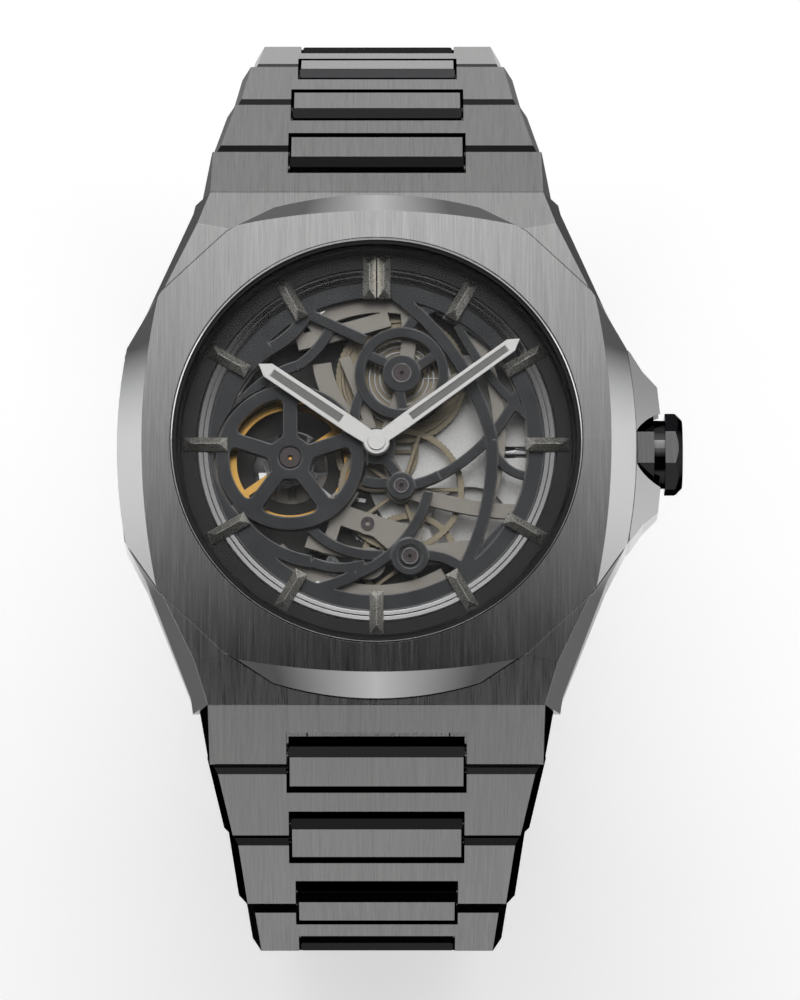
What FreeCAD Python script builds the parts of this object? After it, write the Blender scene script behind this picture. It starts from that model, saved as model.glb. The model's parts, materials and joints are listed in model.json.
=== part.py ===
import FreeCAD, Part
import math
import os

# A steel wristwatch with a skeleton dial and a linked bracelet that is closed in a loop.
# Millimetres. The dial looks along +Z, 12 o'clock lies along +Y and the crown along +X.
# The origin is the middle of the flat outer face of the case back.

# Case
CASE_BOTTOM = 1.2          # underside of the case middle, on the case back flange
SHOULDER_TOP = 9.55        # height of the brushed shoulder where it starts
SHOULDER_START = 17.1      # distance from the middle to where the shoulder starts
SHOULDER_FALL = 0.667      # drop of the shoulder for each millimetre outwards
CASE_END = 20.88           # flat ends of the case that the end links stand against
CASE_CORNERS = [(14.7, CASE_END), (14.85, 19.8), (18.4, 10.9), (20.1, 7.7)]
CASE_SIDE = 20.6           # bulge of the case wall at 3 and 9 o'clock
CAVITY = 15.6              # radius of the movement space
CASE_BORE = 16.3           # radius of the mouth under the bezel

# Bezel
BEZEL_SEAT = 6.9
BEZEL_CORNERS = [(8.2, 19.35), (12.0, 17.1), (17.2, 12.2), (20.0, 7.9)]
BEZEL_REACH = 20.5         # outer edge at 12 and 6 o'clock
BEZEL_SIDE = 20.75         # outer edge at 3 and 9 o'clock
BEZEL_CROWN = 11.26        # height of the ball that domes the top face
DOME_RADIUS = 120.0
BEVEL_RADIUS = 44.5        # radius of the four conical bevels at BEVEL_TOP
BEVEL_CENTRE = 25.8
BEVEL_TOP = 9.8
BEVEL_SPREAD = 0.87
SEAM = 0.03

# Crystal and dial
CRYSTAL_RADIUS = 15.95
CRYSTAL_LOW = 9.4
CRYSTAL_TOP = 10.25
REHAUT_TOP = 9.12
REHAUT_FLOOR = 7.75
MARKER_INNER = 11.9
MARKER_OUTER = 15.4
MARKER_WIDTH = 1.1
HOUR_HAND_LOW = 8.55
MINUTE_HAND_LOW = 8.95
HAND_THICKNESS = 0.2
HOUR_ANGLE = 304.2         # degrees clockwise from 12, for nine minutes past ten
MINUTE_ANGLE = 53.8
HOUR_LENGTH = 11.4
MINUTE_LENGTH = 14.2

# Movement
MOVEMENT_RADIUS = 13.6
PLATE_LOW = 2.9
PLATE_TOP = 4.6
BRIDGE_LOW = 6.0
BRIDGE_TOP = 6.5
FRONT_LOW = 6.7
FRONT_TOP = 7.45
BARREL_AXIS = (2.0, 5.9)
THIRD_AXIS = (1.97, -3.27)
FOURTH_AXIS = (2.66, -9.0)
BALANCE_AXIS = (-6.9, -1.0)
BARREL_RATIO = 6.0
CENTRE_RATIO = 8.0
THIRD_RATIO = 7.5
FOURTH_RATIO = 10.0
ESCAPE_REACH = 4.4         # from the fourth wheel to the escape wheel
FORK_REACH = 2.9           # from the escape wheel to the pallet fork
PIVOT = 0.16               # radius of the thin wheel pivots
PIVOT_GAP = 0.04
PIVOT_LOW = 3.7
PIVOT_HIGH = 6.4
WHEEL_1 = (4.72, 4.92)     # level of the centre wheel, the escape wheel and the pallet fork
WHEEL_2 = (5.05, 5.25)     # level of the barrel
WHEEL_3 = (5.1, 5.35)      # level of the fourth wheel
WHEEL_4 = (5.5, 5.75)      # level of the third wheel
BALANCE_LEVEL = (5.02, 5.45)
BALANCE_POCKET = 3.5       # floor of the main plate's recess under the balance

# Winding and crown
STEM_HEIGHT = 3.7
STEM_RADIUS = 0.45
CROWN_FLATS = 3.1
CROWN_START = 20.85
CROWN_END = 24.5
CROWN_POCKET = 3.5

# Bracelet
LINK_PITCH = 6.8
LINK_THICKNESS = 3.0
LINK_GAP = 0.1             # half of the slit between two flat-laid links
PIN_DEPTH = 1.5
PIN_RADIUS = 0.45
PIN_GAP = 0.05
HINGE_BACK = 0.7           # the hinge pin sits this far before the slit
ANCHOR_FORWARD = 1.2       # the fixed pin of the centre block sits this far after it
BLOCK_BACK = 1.5
BLOCK_FORWARD = 2.0
NOTCH = 2.5
BLOCK_CLEARANCE = 0.15
NEAR_BEVEL = 0.62          # bevel of each link and block on its edge nearest the case
EDGE_BEVEL = 0.12
RELIEF_DEPTH = 0.9         # slope in the last row's notch that the inner blade's block swings past
RELIEF_RISE = 1.7
SIDE_FACET = 0.75
FACET_DEPTH = 1.3
END_LINK_LENGTH = 5.8
END_LINK_TOP = 7.05
END_LINK_SLOPE = 41.0
END_LINK_FACE = 13.4
SLOPES_12 = [42.0, 49.0, 61.5, 79.0, 100.5, 118.5, 131.5, 142.0, 152.5]
SLOPES_6 = [42.0, 45.0, 66.0, 98.0, 100.0, 102.0, 120.5, 145.5, 160.5]
FACE_WIDTHS = [(12.8, 11.5), (11.2, 10.4), (9.9, 9.4), (9.3, 9.0)]
BLOCK_WIDTHS = [7.05, 6.9, 6.4, 6.2]

# Clasp
CLASP_RADIUS = 60.0        # outer face of the closed clasp
CLASP_INNER = 56.7         # edge of the cover's side walls
CLASP_SLOPE = 165.0
COVER_SHEET = 1.1
WALL = 1.0
CLASP_HALF = 9.75
BLADE_HALF = 6.3
BLADE_SHEET = 0.8
BLADE_1_RADIUS = 58.4
BLADE_2_RADIUS = 56.8
HINGE_1 = 10.5             # degrees round the arc from straight down towards 12 o'clock
HINGE_2 = -12.0
HINGE_1_RADIUS = 57.9
HINGE_2_RADIUS = 57.2
KNUCKLE = 0.85
PUSHER_AT = 4.5
PUSHER_RADIUS = 57.9


def vec(x, y, z=0.0):
    return FreeCAD.Vector(x, y, z)


def disc(radius, low, high, centre=(0.0, 0.0)):
    return Part.makeCylinder(radius, high - low, vec(centre[0], centre[1], low))


def ring(outer, inner, low, high, centre=(0.0, 0.0)):
    return disc(outer, low, high, centre).cut(disc(inner, low, high, centre))


def turned(points, centre=(0.0, 0.0)):
    """Solid of revolution about the vertical line through centre, from (radius, height) points."""
    corners = [vec(centre[0] + r, centre[1], z) for r, z in points]
    face = Part.Face(Part.makePolygon(corners + corners[:1]))
    return face.revolve(vec(centre[0], centre[1]), vec(0, 0, 1), 360)


def prism(points, low, high):
    """Upright prism over a closed outline of (x, y) points."""
    corners = [vec(x, y, low) for x, y in points]
    return Part.Face(Part.makePolygon(corners + corners[:1])).extrude(vec(0, 0, high - low))


def side_profile(points, half_width):
    """Bar along X with a closed (y, z) section."""
    corners = [vec(-half_width, y, z) for y, z in points]
    return Part.Face(Part.makePolygon(corners + corners[:1])).extrude(vec(2 * half_width, 0, 0))


def box(low, high):
    """Box between two opposite corners."""
    size = [b - a for a, b in zip(low, high)]
    return Part.makeBox(size[0], size[1], size[2], vec(*low))


def rod(radius, start, end):
    """Round bar between two points."""
    axis = vec(*end) - vec(*start)
    return Part.makeCylinder(radius, axis.Length, vec(*start), axis)


def joined(shapes):
    return shapes[0].multiFuse(shapes[1:]).removeSplitter()


def without(shape, tools):
    return shape.cut(joined(tools)) if len(tools) > 1 else shape.cut(tools[0])


def cut_beyond(shape, first, second, third):
    """Take away all that lies on the side of a plane that its right-hand normal points to."""
    a, b, c = vec(*first), vec(*second), vec(*third)
    normal = (b - a).cross(c - a)
    block = Part.makeBox(90, 90, 40, vec(-45, -45, 0))
    block.Placement = FreeCAD.Placement(a, FreeCAD.Rotation(vec(0, 0, 1), normal))
    return shape.cut(block)


def turned_about(shape, degrees, centre=(0.0, 0.0)):
    copy = shape.copy()
    copy.rotate(vec(centre[0], centre[1]), vec(0, 0, 1), degrees)
    return copy


def around(shape, count, start=0.0, centre=(0.0, 0.0)):
    """Copies of a shape spread evenly about a vertical line."""
    return [turned_about(shape, start + i * 360.0 / count, centre) for i in range(count)]


def polar(radius, degrees, centre=(0.0, 0.0)):
    angle = math.radians(degrees)
    return (centre[0] + radius * math.cos(angle), centre[1] + radius * math.sin(angle))


def distance(a, b):
    return math.hypot(b[0] - a[0], b[1] - a[1])


def towards(start, end, reach):
    """The (x, y) point at a distance from start on the way to end."""
    share = reach / distance(start, end)
    return (start[0] + (end[0] - start[0]) * share, start[1] + (end[1] - start[1]) * share)


ESCAPE_AXIS = towards(FOURTH_AXIS, BALANCE_AXIS, ESCAPE_REACH)
FORK_AXIS = towards(ESCAPE_AXIS, BALANCE_AXIS, FORK_REACH)


def rib(start, middle, end, width, low, high):
    """Flat bar that follows the arc through three (x, y) points."""
    arc = Part.Arc(vec(*start), vec(*middle), vec(*end)).toShape().Curve
    centre, radius = arc.Center, arc.Radius

    def line(change):
        scale = (radius + change) / radius
        return [centre + (vec(*point) - centre) * scale for point in (start, middle, end)]

    outer, inner = line(width / 2), line(-width / 2)
    edges = [
        Part.Arc(*outer).toShape(),
        Part.LineSegment(outer[2], inner[2]).toShape(),
        Part.Arc(*inner[::-1]).toShape(),
        Part.LineSegment(inner[0], outer[0]).toShape(),
    ]
    face = Part.Face(Part.Wire(edges))
    face.translate(vec(0, 0, low))
    return face.extrude(vec(0, 0, high - low))


def four_way_prism(corners, reach, side, low, high, grow=0.0):
    """Prism mirrored left to right and top to bottom: corners run from 12 to 3 o'clock, and the
    edges that cross the axes bulge to reach and side."""
    first = [vec(x + grow, y + grow * 0.7, low) for x, y in corners]
    fourth = [vec(p.x, -p.y, low) for p in reversed(first)]
    third = [vec(-p.x, -p.y, low) for p in first]
    second = [vec(-p.x, p.y, low) for p in reversed(first)]
    bulges = [
        vec(side + grow, 0, low),
        vec(0, -reach - grow, low),
        vec(-side - grow, 0, low),
        vec(0, reach + grow, low),
    ]
    quarters = [first, fourth, third, second]
    edges = []
    for quarter, bulge, following in zip(quarters, bulges, quarters[1:] + quarters[:1]):
        for a, b in zip(quarter, quarter[1:]):
            edges.append(Part.LineSegment(a, b).toShape())
        straight = abs(abs(bulge.y) - abs(quarter[-1].y)) < 0.001
        if straight:
            edges.append(Part.LineSegment(quarter[-1], following[0]).toShape())
        else:
            edges.append(Part.Arc(quarter[-1], bulge, following[0]).toShape())
    return Part.Face(Part.Wire(edges)).extrude(vec(0, 0, high - low))


# ---------------------------------------------------------------- case


def dome():
    """Large ball whose top is the domed face that bezel and case share."""
    return Part.makeSphere(DOME_RADIUS, vec(0, 0, BEZEL_CROWN - DOME_RADIUS))


def crown_guards():
    """Block that carries the two crown guards, with sloped top and bottom and the crown's pocket."""
    tips = [(19.0, 8.9), (20.3, 7.6), (21.3, 6.2), (22.5, 5.1), (22.75, 2.8), (22.75, -2.8)]
    tips += [(22.5, -5.1), (21.3, -6.2), (20.3, -7.6), (19.0, -8.9)]
    guards = prism(tips, 1.4, 7.4)
    guards = cut_beyond(guards, (20.8, 0, 6.95), (22.75, 0, 5.5), (20.8, 1, 6.95))
    guards = cut_beyond(guards, (20.8, 0, 1.4), (20.8, 1, 1.4), (22.75, 0, 2.4))
    return guards.cut(rod(CROWN_POCKET, (20.8, 0, STEM_HEIGHT), (24, 0, STEM_HEIGHT)))


def case_middle():
    body = four_way_prism(CASE_CORNERS, CASE_END, CASE_SIDE, CASE_BOTTOM, BEZEL_CROWN)
    body = body.common(dome())
    fall = SHOULDER_FALL
    top = SHOULDER_TOP
    start = SHOULDER_START
    for side in (1, -1):
        body = cut_beyond(body, (0, side * start, top), (side, side * start, top),
                          (0, side * (start + 1), top - fall))
        body = cut_beyond(body, (0, side * 20.0, CASE_BOTTOM), (0, side * CASE_END, 2.1),
                          (side, side * 20.0, CASE_BOTTOM))
    for x_side in (1, -1):
        for y_side in (1, -1):
            inner = (x_side * 13.4, y_side * CASE_END, top - fall * (CASE_END - start))
            outer = (x_side * 16.9, y_side * 12.6, top - 0.1)
            lower = (x_side * 14.75, y_side * 20.3, 3.2)
            order = (inner, outer, lower) if x_side * y_side > 0 else (inner, lower, outer)
            body = cut_beyond(body, *order)
    body = joined([body, crown_guards()])
    body = body.cut(four_way_prism(BEZEL_CORNERS, BEZEL_REACH, BEZEL_SIDE, BEZEL_SEAT, 12.0, SEAM))
    bores = [
        disc(CAVITY, CASE_BOTTOM - 1, BEZEL_SEAT + 1),
        disc(CASE_BORE, BEZEL_SEAT - 0.6, BEZEL_SEAT + 1),
        disc(16.0, CASE_BOTTOM - 1, 2.3),
        rod(1.05, (14, 0, STEM_HEIGHT), (23, 0, STEM_HEIGHT)),
    ]
    bores += around(disc(0.46, CASE_BOTTOM - 0.1, 3.1, (17.9, 0)), 6, 30)
    return without(body, bores)


def bezel():
    body = four_way_prism(BEZEL_CORNERS, BEZEL_REACH, BEZEL_SIDE, BEZEL_SEAT, 12.0)
    body = body.common(dome())
    low, high = BEZEL_SEAT - 1, BEZEL_CROWN + 1
    wide = BEVEL_RADIUS + (BEVEL_TOP - low) * BEVEL_SPREAD
    narrow = BEVEL_RADIUS - (high - BEVEL_TOP) * BEVEL_SPREAD
    for x, y in ((0, -1), (0, 1), (-1, 0), (1, 0)):
        centre = vec(x * BEVEL_CENTRE, y * BEVEL_CENTRE, low)
        body = body.common(Part.makeCone(wide, narrow, high - low, centre))
    chamfer = turned([(0, 9.95), (CASE_BORE, 9.95), (CASE_BORE + 2, 11.95), (0, 11.95)])
    return without(body, [disc(CASE_BORE, low, high), chamfer])


def crystal():
    edge = 0.15
    return turned([
        (0, CRYSTAL_LOW), (CRYSTAL_RADIUS, CRYSTAL_LOW), (CRYSTAL_RADIUS, CRYSTAL_TOP - edge),
        (CRYSTAL_RADIUS - edge, CRYSTAL_TOP), (0, CRYSTAL_TOP),
    ])


def crystal_gasket():
    foot = ring(CASE_BORE, CRYSTAL_RADIUS - 0.3, REHAUT_TOP + 0.03, CRYSTAL_LOW)
    wall = ring(CASE_BORE, CRYSTAL_RADIUS, CRYSTAL_LOW, 9.95)
    return joined([foot, wall])


def rehaut():
    """Black ring between dial and crystal, with a flat floor for the hour markers."""
    outer = CASE_BORE - 0.05
    return turned([
        (outer, BEZEL_SEAT - 0.6), (outer, REHAUT_TOP), (16.05, REHAUT_TOP), (15.6, REHAUT_FLOOR),
        (14.4, REHAUT_FLOOR), (14.4, FRONT_LOW + 0.1), (15.65, FRONT_LOW + 0.1), (15.65, BEZEL_SEAT - 0.6),
    ])


def marker(width):
    """Applied hour marker along +Y: a prism with a ridge and hipped ends."""
    half, low, top = width / 2, REHAUT_FLOOR, REHAUT_FLOOR + 0.6
    body = box((-half, MARKER_INNER, low), (half, MARKER_OUTER, top))
    shoulder = low + 0.2
    for side in (1, -1):
        body = cut_beyond(body, (side * half, 0, shoulder), (side * half, side, shoulder), (0, 0, top))
    for side, end in ((1, MARKER_OUTER), (-1, MARKER_INNER)):
        body = cut_beyond(body, (0, end, shoulder), (-side, end, shoulder), (0, end - side * 0.7, top))
    return body


def hour_markers():
    """Eleven single markers and a double one at 12 o'clock, as separate solids."""
    single = marker(MARKER_WIDTH)
    solids = [turned_about(single, 30.0 * hour) for hour in range(1, 12)]
    for side in (1, -1):
        twin = marker(1.05)
        twin.translate(vec(side * 0.58, 0, 0))
        solids.append(twin)
    return Part.makeCompound(solids)


def case_back_ring():
    flange = turned([
        (12.5, 0), (18.4, 0), (18.9, 0.4), (18.9, CASE_BOTTOM), (15.95, CASE_BOTTOM), (15.95, 2.2),
        (15.2, 2.2), (15.2, 1.3), (13.25, 1.3), (13.25, 0.3), (12.5, 0.3),
    ])
    groove = ring(17.0, 16.4, 0.8, CASE_BOTTOM)
    holes = around(joined([disc(0.5, 0, 2, (17.9, 0)), disc(0.8, 0, 0.55, (17.9, 0))]), 6, 30)
    return without(flange, [groove] + holes)


def case_back_glass():
    """Window of the case back, flush with its outer face."""
    return joined([disc(13.2, 0.32, 1.25), disc(12.45, 0, 0.32)])


def case_back_gasket():
    return ring(16.95, 16.45, 0.82, CASE_BOTTOM)


def case_back_screws():
    shank = disc(0.42, 0.5, 2.9, (17.9, 0))
    head = disc(0.74, 0.08, 0.55, (17.9, 0))
    slot = box((17.0, -0.1, 0), (18.8, 0.1, 0.25))
    screw = joined([shank, head]).cut(slot)
    return Part.makeCompound(around(screw, 6, 30))


def crown_tube():
    return rod(1.0, (15.8, 0, STEM_HEIGHT), (20.7, 0, STEM_HEIGHT)).cut(
        rod(0.6, (15, 0, STEM_HEIGHT), (21, 0, STEM_HEIGHT)))


def octagon_rod(flats, start, end):
    """Eight-sided bar along X with a flat on top, half flats across."""
    reach = flats / math.cos(math.pi / 8)
    corners = []
    for i in range(8):
        angle = math.pi / 8 + i * math.pi / 4
        corners.append(vec(start, reach * math.cos(angle), STEM_HEIGHT + reach * math.sin(angle)))
    return Part.Face(Part.makePolygon(corners + corners[:1])).extrude(vec(end - start, 0, 0))


def crown():
    head = octagon_rod(CROWN_FLATS, 23.1, CROWN_END)
    bevel = Part.makeCone(CROWN_FLATS + 0.75, CROWN_FLATS - 0.35, 1.1,
                          vec(CROWN_END - 1.1, 0, STEM_HEIGHT), vec(1, 0, 0))
    rest = rod(5, (23, 0, STEM_HEIGHT), (CROWN_END - 1.1, 0, STEM_HEIGHT))
    head = head.common(joined([bevel, rest]))
    groove = rod(CROWN_FLATS - 0.35, (22.2, 0, STEM_HEIGHT), (23.1, 0, STEM_HEIGHT))
    collar = octagon_rod(CROWN_FLATS - 0.05, CROWN_START, 22.2)
    socket = rod(1.15, (CROWN_START - 0.1, 0, STEM_HEIGHT), (22.0, 0, STEM_HEIGHT))
    return joined([head, groove, collar]).cut(socket)


def winding_stem():
    thick = rod(STEM_RADIUS, (12.2, 0, STEM_HEIGHT), (22.0, 0, STEM_HEIGHT))
    thin = rod(0.28, (8.8, 0, STEM_HEIGHT), (12.2, 0, STEM_HEIGHT))
    return joined([thick, thin])


def winding_pinion():
    """Toothed sleeve in the main plate's slot, which the stem slides through."""
    body = rod(0.75, (9.4, 0, STEM_HEIGHT), (12.0, 0, STEM_HEIGHT))
    for i in range(5):
        pair = box((11.1, -0.12, -0.9), (12.0, 0.12, 0.9))
        pair.rotate(vec(0, 0, 0), vec(1, 0, 0), i * 36)
        pair.translate(vec(0, 0, STEM_HEIGHT))
        body = body.fuse(pair)
    return body.cut(rod(0.32, (9, 0, STEM_HEIGHT), (12.5, 0, STEM_HEIGHT)))


# ---------------------------------------------------------------- movement


def gear(radius, teeth, low, high, centre, bore):
    """Flat wheel with pointed teeth that end just inside its pitch circle."""
    points = []
    depth = min(0.22, 1.3 * radius / teeth)
    for i in range(teeth):
        turn = 360.0 * i / teeth
        step = 360.0 / teeth
        points.append(polar(radius - depth, turn, centre))
        points.append(polar(radius - 0.02, turn + 0.35 * step, centre))
        points.append(polar(radius - 0.02, turn + 0.55 * step, centre))
        points.append(polar(radius - depth, turn + 0.9 * step, centre))
    return prism(points, low, high).cut(disc(bore, low, high, centre))


def windows(outer, inner, spokes, width, low, high, centre, start=0.0):
    """The spaces between the spokes of a wheel."""
    spoke = box((centre[0], centre[1] - width / 2, low), (centre[0] + outer, centre[1] + width / 2, high))
    return without(ring(outer, inner, low, high, centre), around(spoke, spokes, start, centre))


def crossed_wheel(radius, teeth, spokes, low, high, centre, bore):
    wheel = gear(radius, teeth, low, high, centre, bore)
    return wheel.cut(windows(radius - 0.55, bore + 0.45, spokes, 0.3, low, high, centre))


def arbor(centre, radius):
    """Shaft with thin pivots that run in the main plate and in the bridges."""
    return joined([disc(radius, PLATE_TOP + 0.05, BRIDGE_LOW - 0.05, centre),
                   disc(PIVOT, PIVOT_LOW, PIVOT_HIGH, centre)])


def short_arbor(centre, radius, low, high):
    """Shaft with a thin pivot in the main plate only."""
    return joined([disc(radius, PLATE_TOP + 0.05, high, centre), disc(PIVOT, low, high, centre)])


def pivot_hole(centre, low, high):
    return disc(PIVOT + PIVOT_GAP, low, high, centre)


def main_plate():
    """Base plate with sunk pockets, the balance recess and six pillars for the bridges."""
    plate = disc(MOVEMENT_RADIUS, PLATE_LOW, PLATE_TOP)
    pillars = [disc(0.85, PLATE_TOP, BRIDGE_LOW, spot) for spot in screw_spots()]
    tools = [
        disc(5.4, BALANCE_POCKET, PLATE_TOP, BALANCE_AXIS),
        rod(1.0, (9.2, 0, STEM_HEIGHT), (14, 0, STEM_HEIGHT)),
        rod(0.5, (8.0, 0, STEM_HEIGHT), (14, 0, STEM_HEIGHT)),
        disc(0.44, PLATE_LOW, PLATE_TOP),
        disc(3.2, PLATE_LOW + 0.8, PLATE_TOP, (7.5, -6.0)),
        disc(2.2, PLATE_LOW + 0.8, PLATE_TOP, (9.0, 5.2)),
        disc(2.4, PLATE_LOW + 0.8, PLATE_TOP, (-5.0, 8.6)),
        disc(1.9, PLATE_LOW, PLATE_TOP, (-4.6, -9.9)),
    ]
    tools += windows(3.0, 1.0, 4, 0.8, PLATE_LOW, PLATE_TOP, BALANCE_AXIS, 45).Solids
    for axis in (THIRD_AXIS, FOURTH_AXIS, ESCAPE_AXIS, FORK_AXIS, BARREL_AXIS, BALANCE_AXIS):
        tools.append(pivot_hole(axis, PLATE_LOW, PLATE_TOP))
    tools += [disc(0.36, PLATE_LOW + 0.2, BRIDGE_LOW, spot) for spot in screw_spots()]
    return without(joined([plate] + pillars), tools)


def screw_spots():
    """Where the pillars stand and the bridge screws go down."""
    return [polar(12.4, degrees) for degrees in (38, 112, 158, 205, 248, 325)]


def bridge_plates():
    """Second layer of cut-out plates between the front lattice and the wheels."""
    low, high = BRIDGE_LOW, BRIDGE_TOP
    ribs = [
        rib((-6.4, 8.6), (-2.5, 9.6), (1.0, 10.6), 1.3, low, high),
        rib((-5.6, 10.0), (-1.5, 11.7), (3.6, 11.4), 1.6, low, high),
        rib((-4.4, 6.9), (-3.4, 3.9), (-0.9, 1.1), 1.5, low, high),
        rib((-2.6, 7.4), (-1.4, 4.4), (-0.4, 1.4), 0.9, low, high),
        rib((-3.4, -5.2), (0.0, -6.4), (3.6, -7.4), 1.7, low, high),
        rib((-5.6, -7.6), (-1.5, -8.6), (2.6, -9.0), 1.0, low, high),
        rib((-8.2, -8.4), (-2.0, -11.9), (5.6, -10.6), 1.9, low, high),
        rib((-1.8, -3.4), (-3.0, -5.4), (-3.9, -8.6), 1.0, low, high),
        rib((2.66, -9.0), (6.4, -8.4), (9.4, -8.2), 1.6, low, high),
        rib((0.4, 0.8), (3.4, 3.4), (9.8, 7.6), 1.1, low, high),
        rib((2.0, -3.3), (5.4, -4.4), (11.2, -5.2), 1.2, low, high),
        rib((7.6, 9.6), (9.6, 4.0), (8.8, -4.6), 1.0, low, high),
        rib((-11.9, 4.0), (-9.6, 7.4), (-6.0, 9.8), 1.5, low, high),
    ]
    rim = ring(MOVEMENT_RADIUS, 12.0, low, high)
    bosses = [disc(1.5, low, high), disc(1.5, low, high, BARREL_AXIS), disc(1.2, low, high, THIRD_AXIS)]
    bosses += [disc(1.35, low, high, FOURTH_AXIS), disc(0.9, low, high, ESCAPE_AXIS)]
    bosses += [disc(0.8, low, high, FORK_AXIS), disc(1.3, low, high, (-0.6, -9.4))]
    links = [
        rib(ESCAPE_AXIS, (0.3, -7.2), FOURTH_AXIS, 0.8, low, high),
        rib(FORK_AXIS, (-2.4, -5.3), ESCAPE_AXIS, 0.8, low, high),
        rib((0, 0), (1.3, -1.6), THIRD_AXIS, 1.0, low, high),
        rib(BARREL_AXIS, (1.4, 3.0), (0, 0), 0.9, low, high),
        rib(BARREL_AXIS, (2.6, 9.0), (2.2, 12.4), 1.2, low, high),
    ]
    plate = joined([rim] + ribs + bosses + links)
    holes = [pivot_hole(axis, low, high) for axis in (THIRD_AXIS, FOURTH_AXIS)]
    holes += [pivot_hole(BARREL_AXIS, low, high), disc(0.8, low, high)]
    holes += [disc(0.36, low, high, spot) for spot in screw_spots()]
    return without(plate, holes)


def skeleton_dial():
    """Front lattice of dark arms and rings that carries the stepped dial ring."""
    low, high = FRONT_LOW, FRONT_TOP
    thin = high - 0.25
    steps = turned([
        (12.1, low), (14.35, low), (14.35, high + 0.2), (13.4, high + 0.2), (13.4, high), (12.1, high),
    ])
    arms = [
        rib((-5.7, 10.9), (-3.2, 9.7), (-0.9, 8.6), 0.85, low, high),
        rib((1.0, 12.7), (6.3, 7.3), (9.2, 0.5), 0.95, low, high),
        rib((9.2, 0.5), (8.9, -4.2), (6.6, -10.6), 0.95, low, high),
        rib((5.4, 10.8), (9.6, 8.0), (11.7, 5.2), 0.8, low, thin),
        rib((11.7, 5.2), (12.5, -1.0), (11.2, -5.8), 0.8, low, thin),
        rib((11.7, 5.2), (9.4, 1.2), (5.0, -2.4), 0.8, low, thin),
        rib((5.0, -2.4), (3.5, -3.0), THIRD_AXIS, 0.8, low, high),
        rib((6.5, 9.9), (8.6, 6.4), (12.2, 2.4), 0.7, low, thin),
        rib((4.1, -3.7), (2.4, -7.4), (-1.6, -10.4), 0.8, low, high),
        rib((-1.6, -10.4), (-4.0, -11.4), (-5.6, -11.8), 0.9, low, high),
        rib((-5.3, -6.6), (-2.6, -8.4), (0.6, -8.8), 0.8, low, thin),
        rib((-1.7, -2.6), (-0.3, -3.0), (1.0, -3.0), 0.8, low, high),
        rib((2.66, -9.0), (5.0, -9.0), (7.4, -10.4), 0.8, low, high),
        rib((7.4, -10.4), (10.4, -6.4), (11.4, -5.6), 0.8, low, thin),
        rib((-12.2, 2.6), (-10.9, 5.6), (-8.4, 8.0), 1.0, low, high),
        rib((-8.4, 8.0), (-6.8, 9.2), (-5.4, 11.3), 1.0, low, high),
        rib((-12.3, 0.4), (-9.9, 4.6), (-6.3, 6.6), 0.8, low, thin),
        rib((-6.3, 6.6), (-4.6, 8.2), (-3.6, 9.9), 0.8, low, thin),
        rib((-12.2, -2.8), (-9.6, -7.4), (-5.2, -9.4), 1.0, low, high),
        rib((-5.2, -9.4), (-3.0, -9.9), (-0.9, -9.6), 0.8, low, high),
        rib((-11.0, -5.6), (-8.2, -9.4), (-4.6, -11.6), 0.8, low, thin),
        rib((-1.2, 0.7), (-1.7, 3.0), (-1.1, 4.5), 0.8, low, thin),
        rib((2.4, 9.4), (3.6, 10.9), (5.4, 11.5), 0.8, low, thin),
        rib((9.2, 0.5), (10.8, -2.0), (12.3, -2.4), 0.7, low, thin),
    ]
    rings = [
        ring(3.75, 2.95, low, high + 0.1, BARREL_AXIS),
        disc(1.5, low, high + 0.1, BARREL_AXIS),
        disc(1.1, low, high + 0.1, THIRD_AXIS),
        disc(1.5, low, high + 0.1, FOURTH_AXIS),
        ring(1.5, 0.8, low, high),
    ]
    spokes = []
    for degrees in (140, 262, 20):
        spokes.append(rib(polar(1.2, degrees, BARREL_AXIS), polar(2.2, degrees + 8, BARREL_AXIS),
                          polar(3.3, degrees + 10, BARREL_AXIS), 0.75, low, high))
    centre_links = [
        rib((-1.1, 0.5), (-1.3, -0.6), (-0.6, -1.3), 0.7, low, high),
        rib((0.9, 0.9), (1.6, 1.6), (1.9, 2.6), 0.8, low, high),
        rib((0.6, -1.1), (1.2, -1.7), (1.7, -2.5), 0.8, low, high),
    ]
    plate = joined([steps] + arms + rings + spokes + centre_links)
    holes = [
        disc(0.74, high - 0.15, high + 1, BARREL_AXIS),
        disc(0.56, high - 0.15, high + 1, THIRD_AXIS),
        disc(0.96, high - 0.15, high + 1, FOURTH_AXIS),
        disc(0.8, low, high + 1),
        disc(6.1, low - 0.1, high + 1, BALANCE_AXIS),
    ]
    return without(plate, holes)


def balance_bridge():
    """Round bridge over the balance with five rounded windows and three feet."""
    low, high = FRONT_LOW, FRONT_TOP + 0.25
    plate = disc(5.9, low, high, BALANCE_AXIS)
    gaps = windows(4.85, 1.75, 5, 1.15, low, high, BALANCE_AXIS, 18)
    gaps = Part.makeCompound([gap.makeFillet(0.45, upright_edges(gap)) for gap in gaps.Solids])
    hub = disc(0.95, high - 0.3, high, BALANCE_AXIS)
    pivot = pivot_hole(BALANCE_AXIS, low, high)
    feet = [disc(0.28, PLATE_TOP, low, polar(5.57, degrees, BALANCE_AXIS)) for degrees in (75, 125, 235)]
    return joined([plate.cut(gaps).cut(hub).cut(pivot)] + feet)


def upright_edges(shape):
    edges = []
    for edge in shape.Edges:
        ends = [v.Point for v in edge.Vertexes]
        if len(ends) == 2 and abs(ends[0].x - ends[1].x) + abs(ends[0].y - ends[1].y) < 1e-6:
            edges.append(edge)
    return edges


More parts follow.
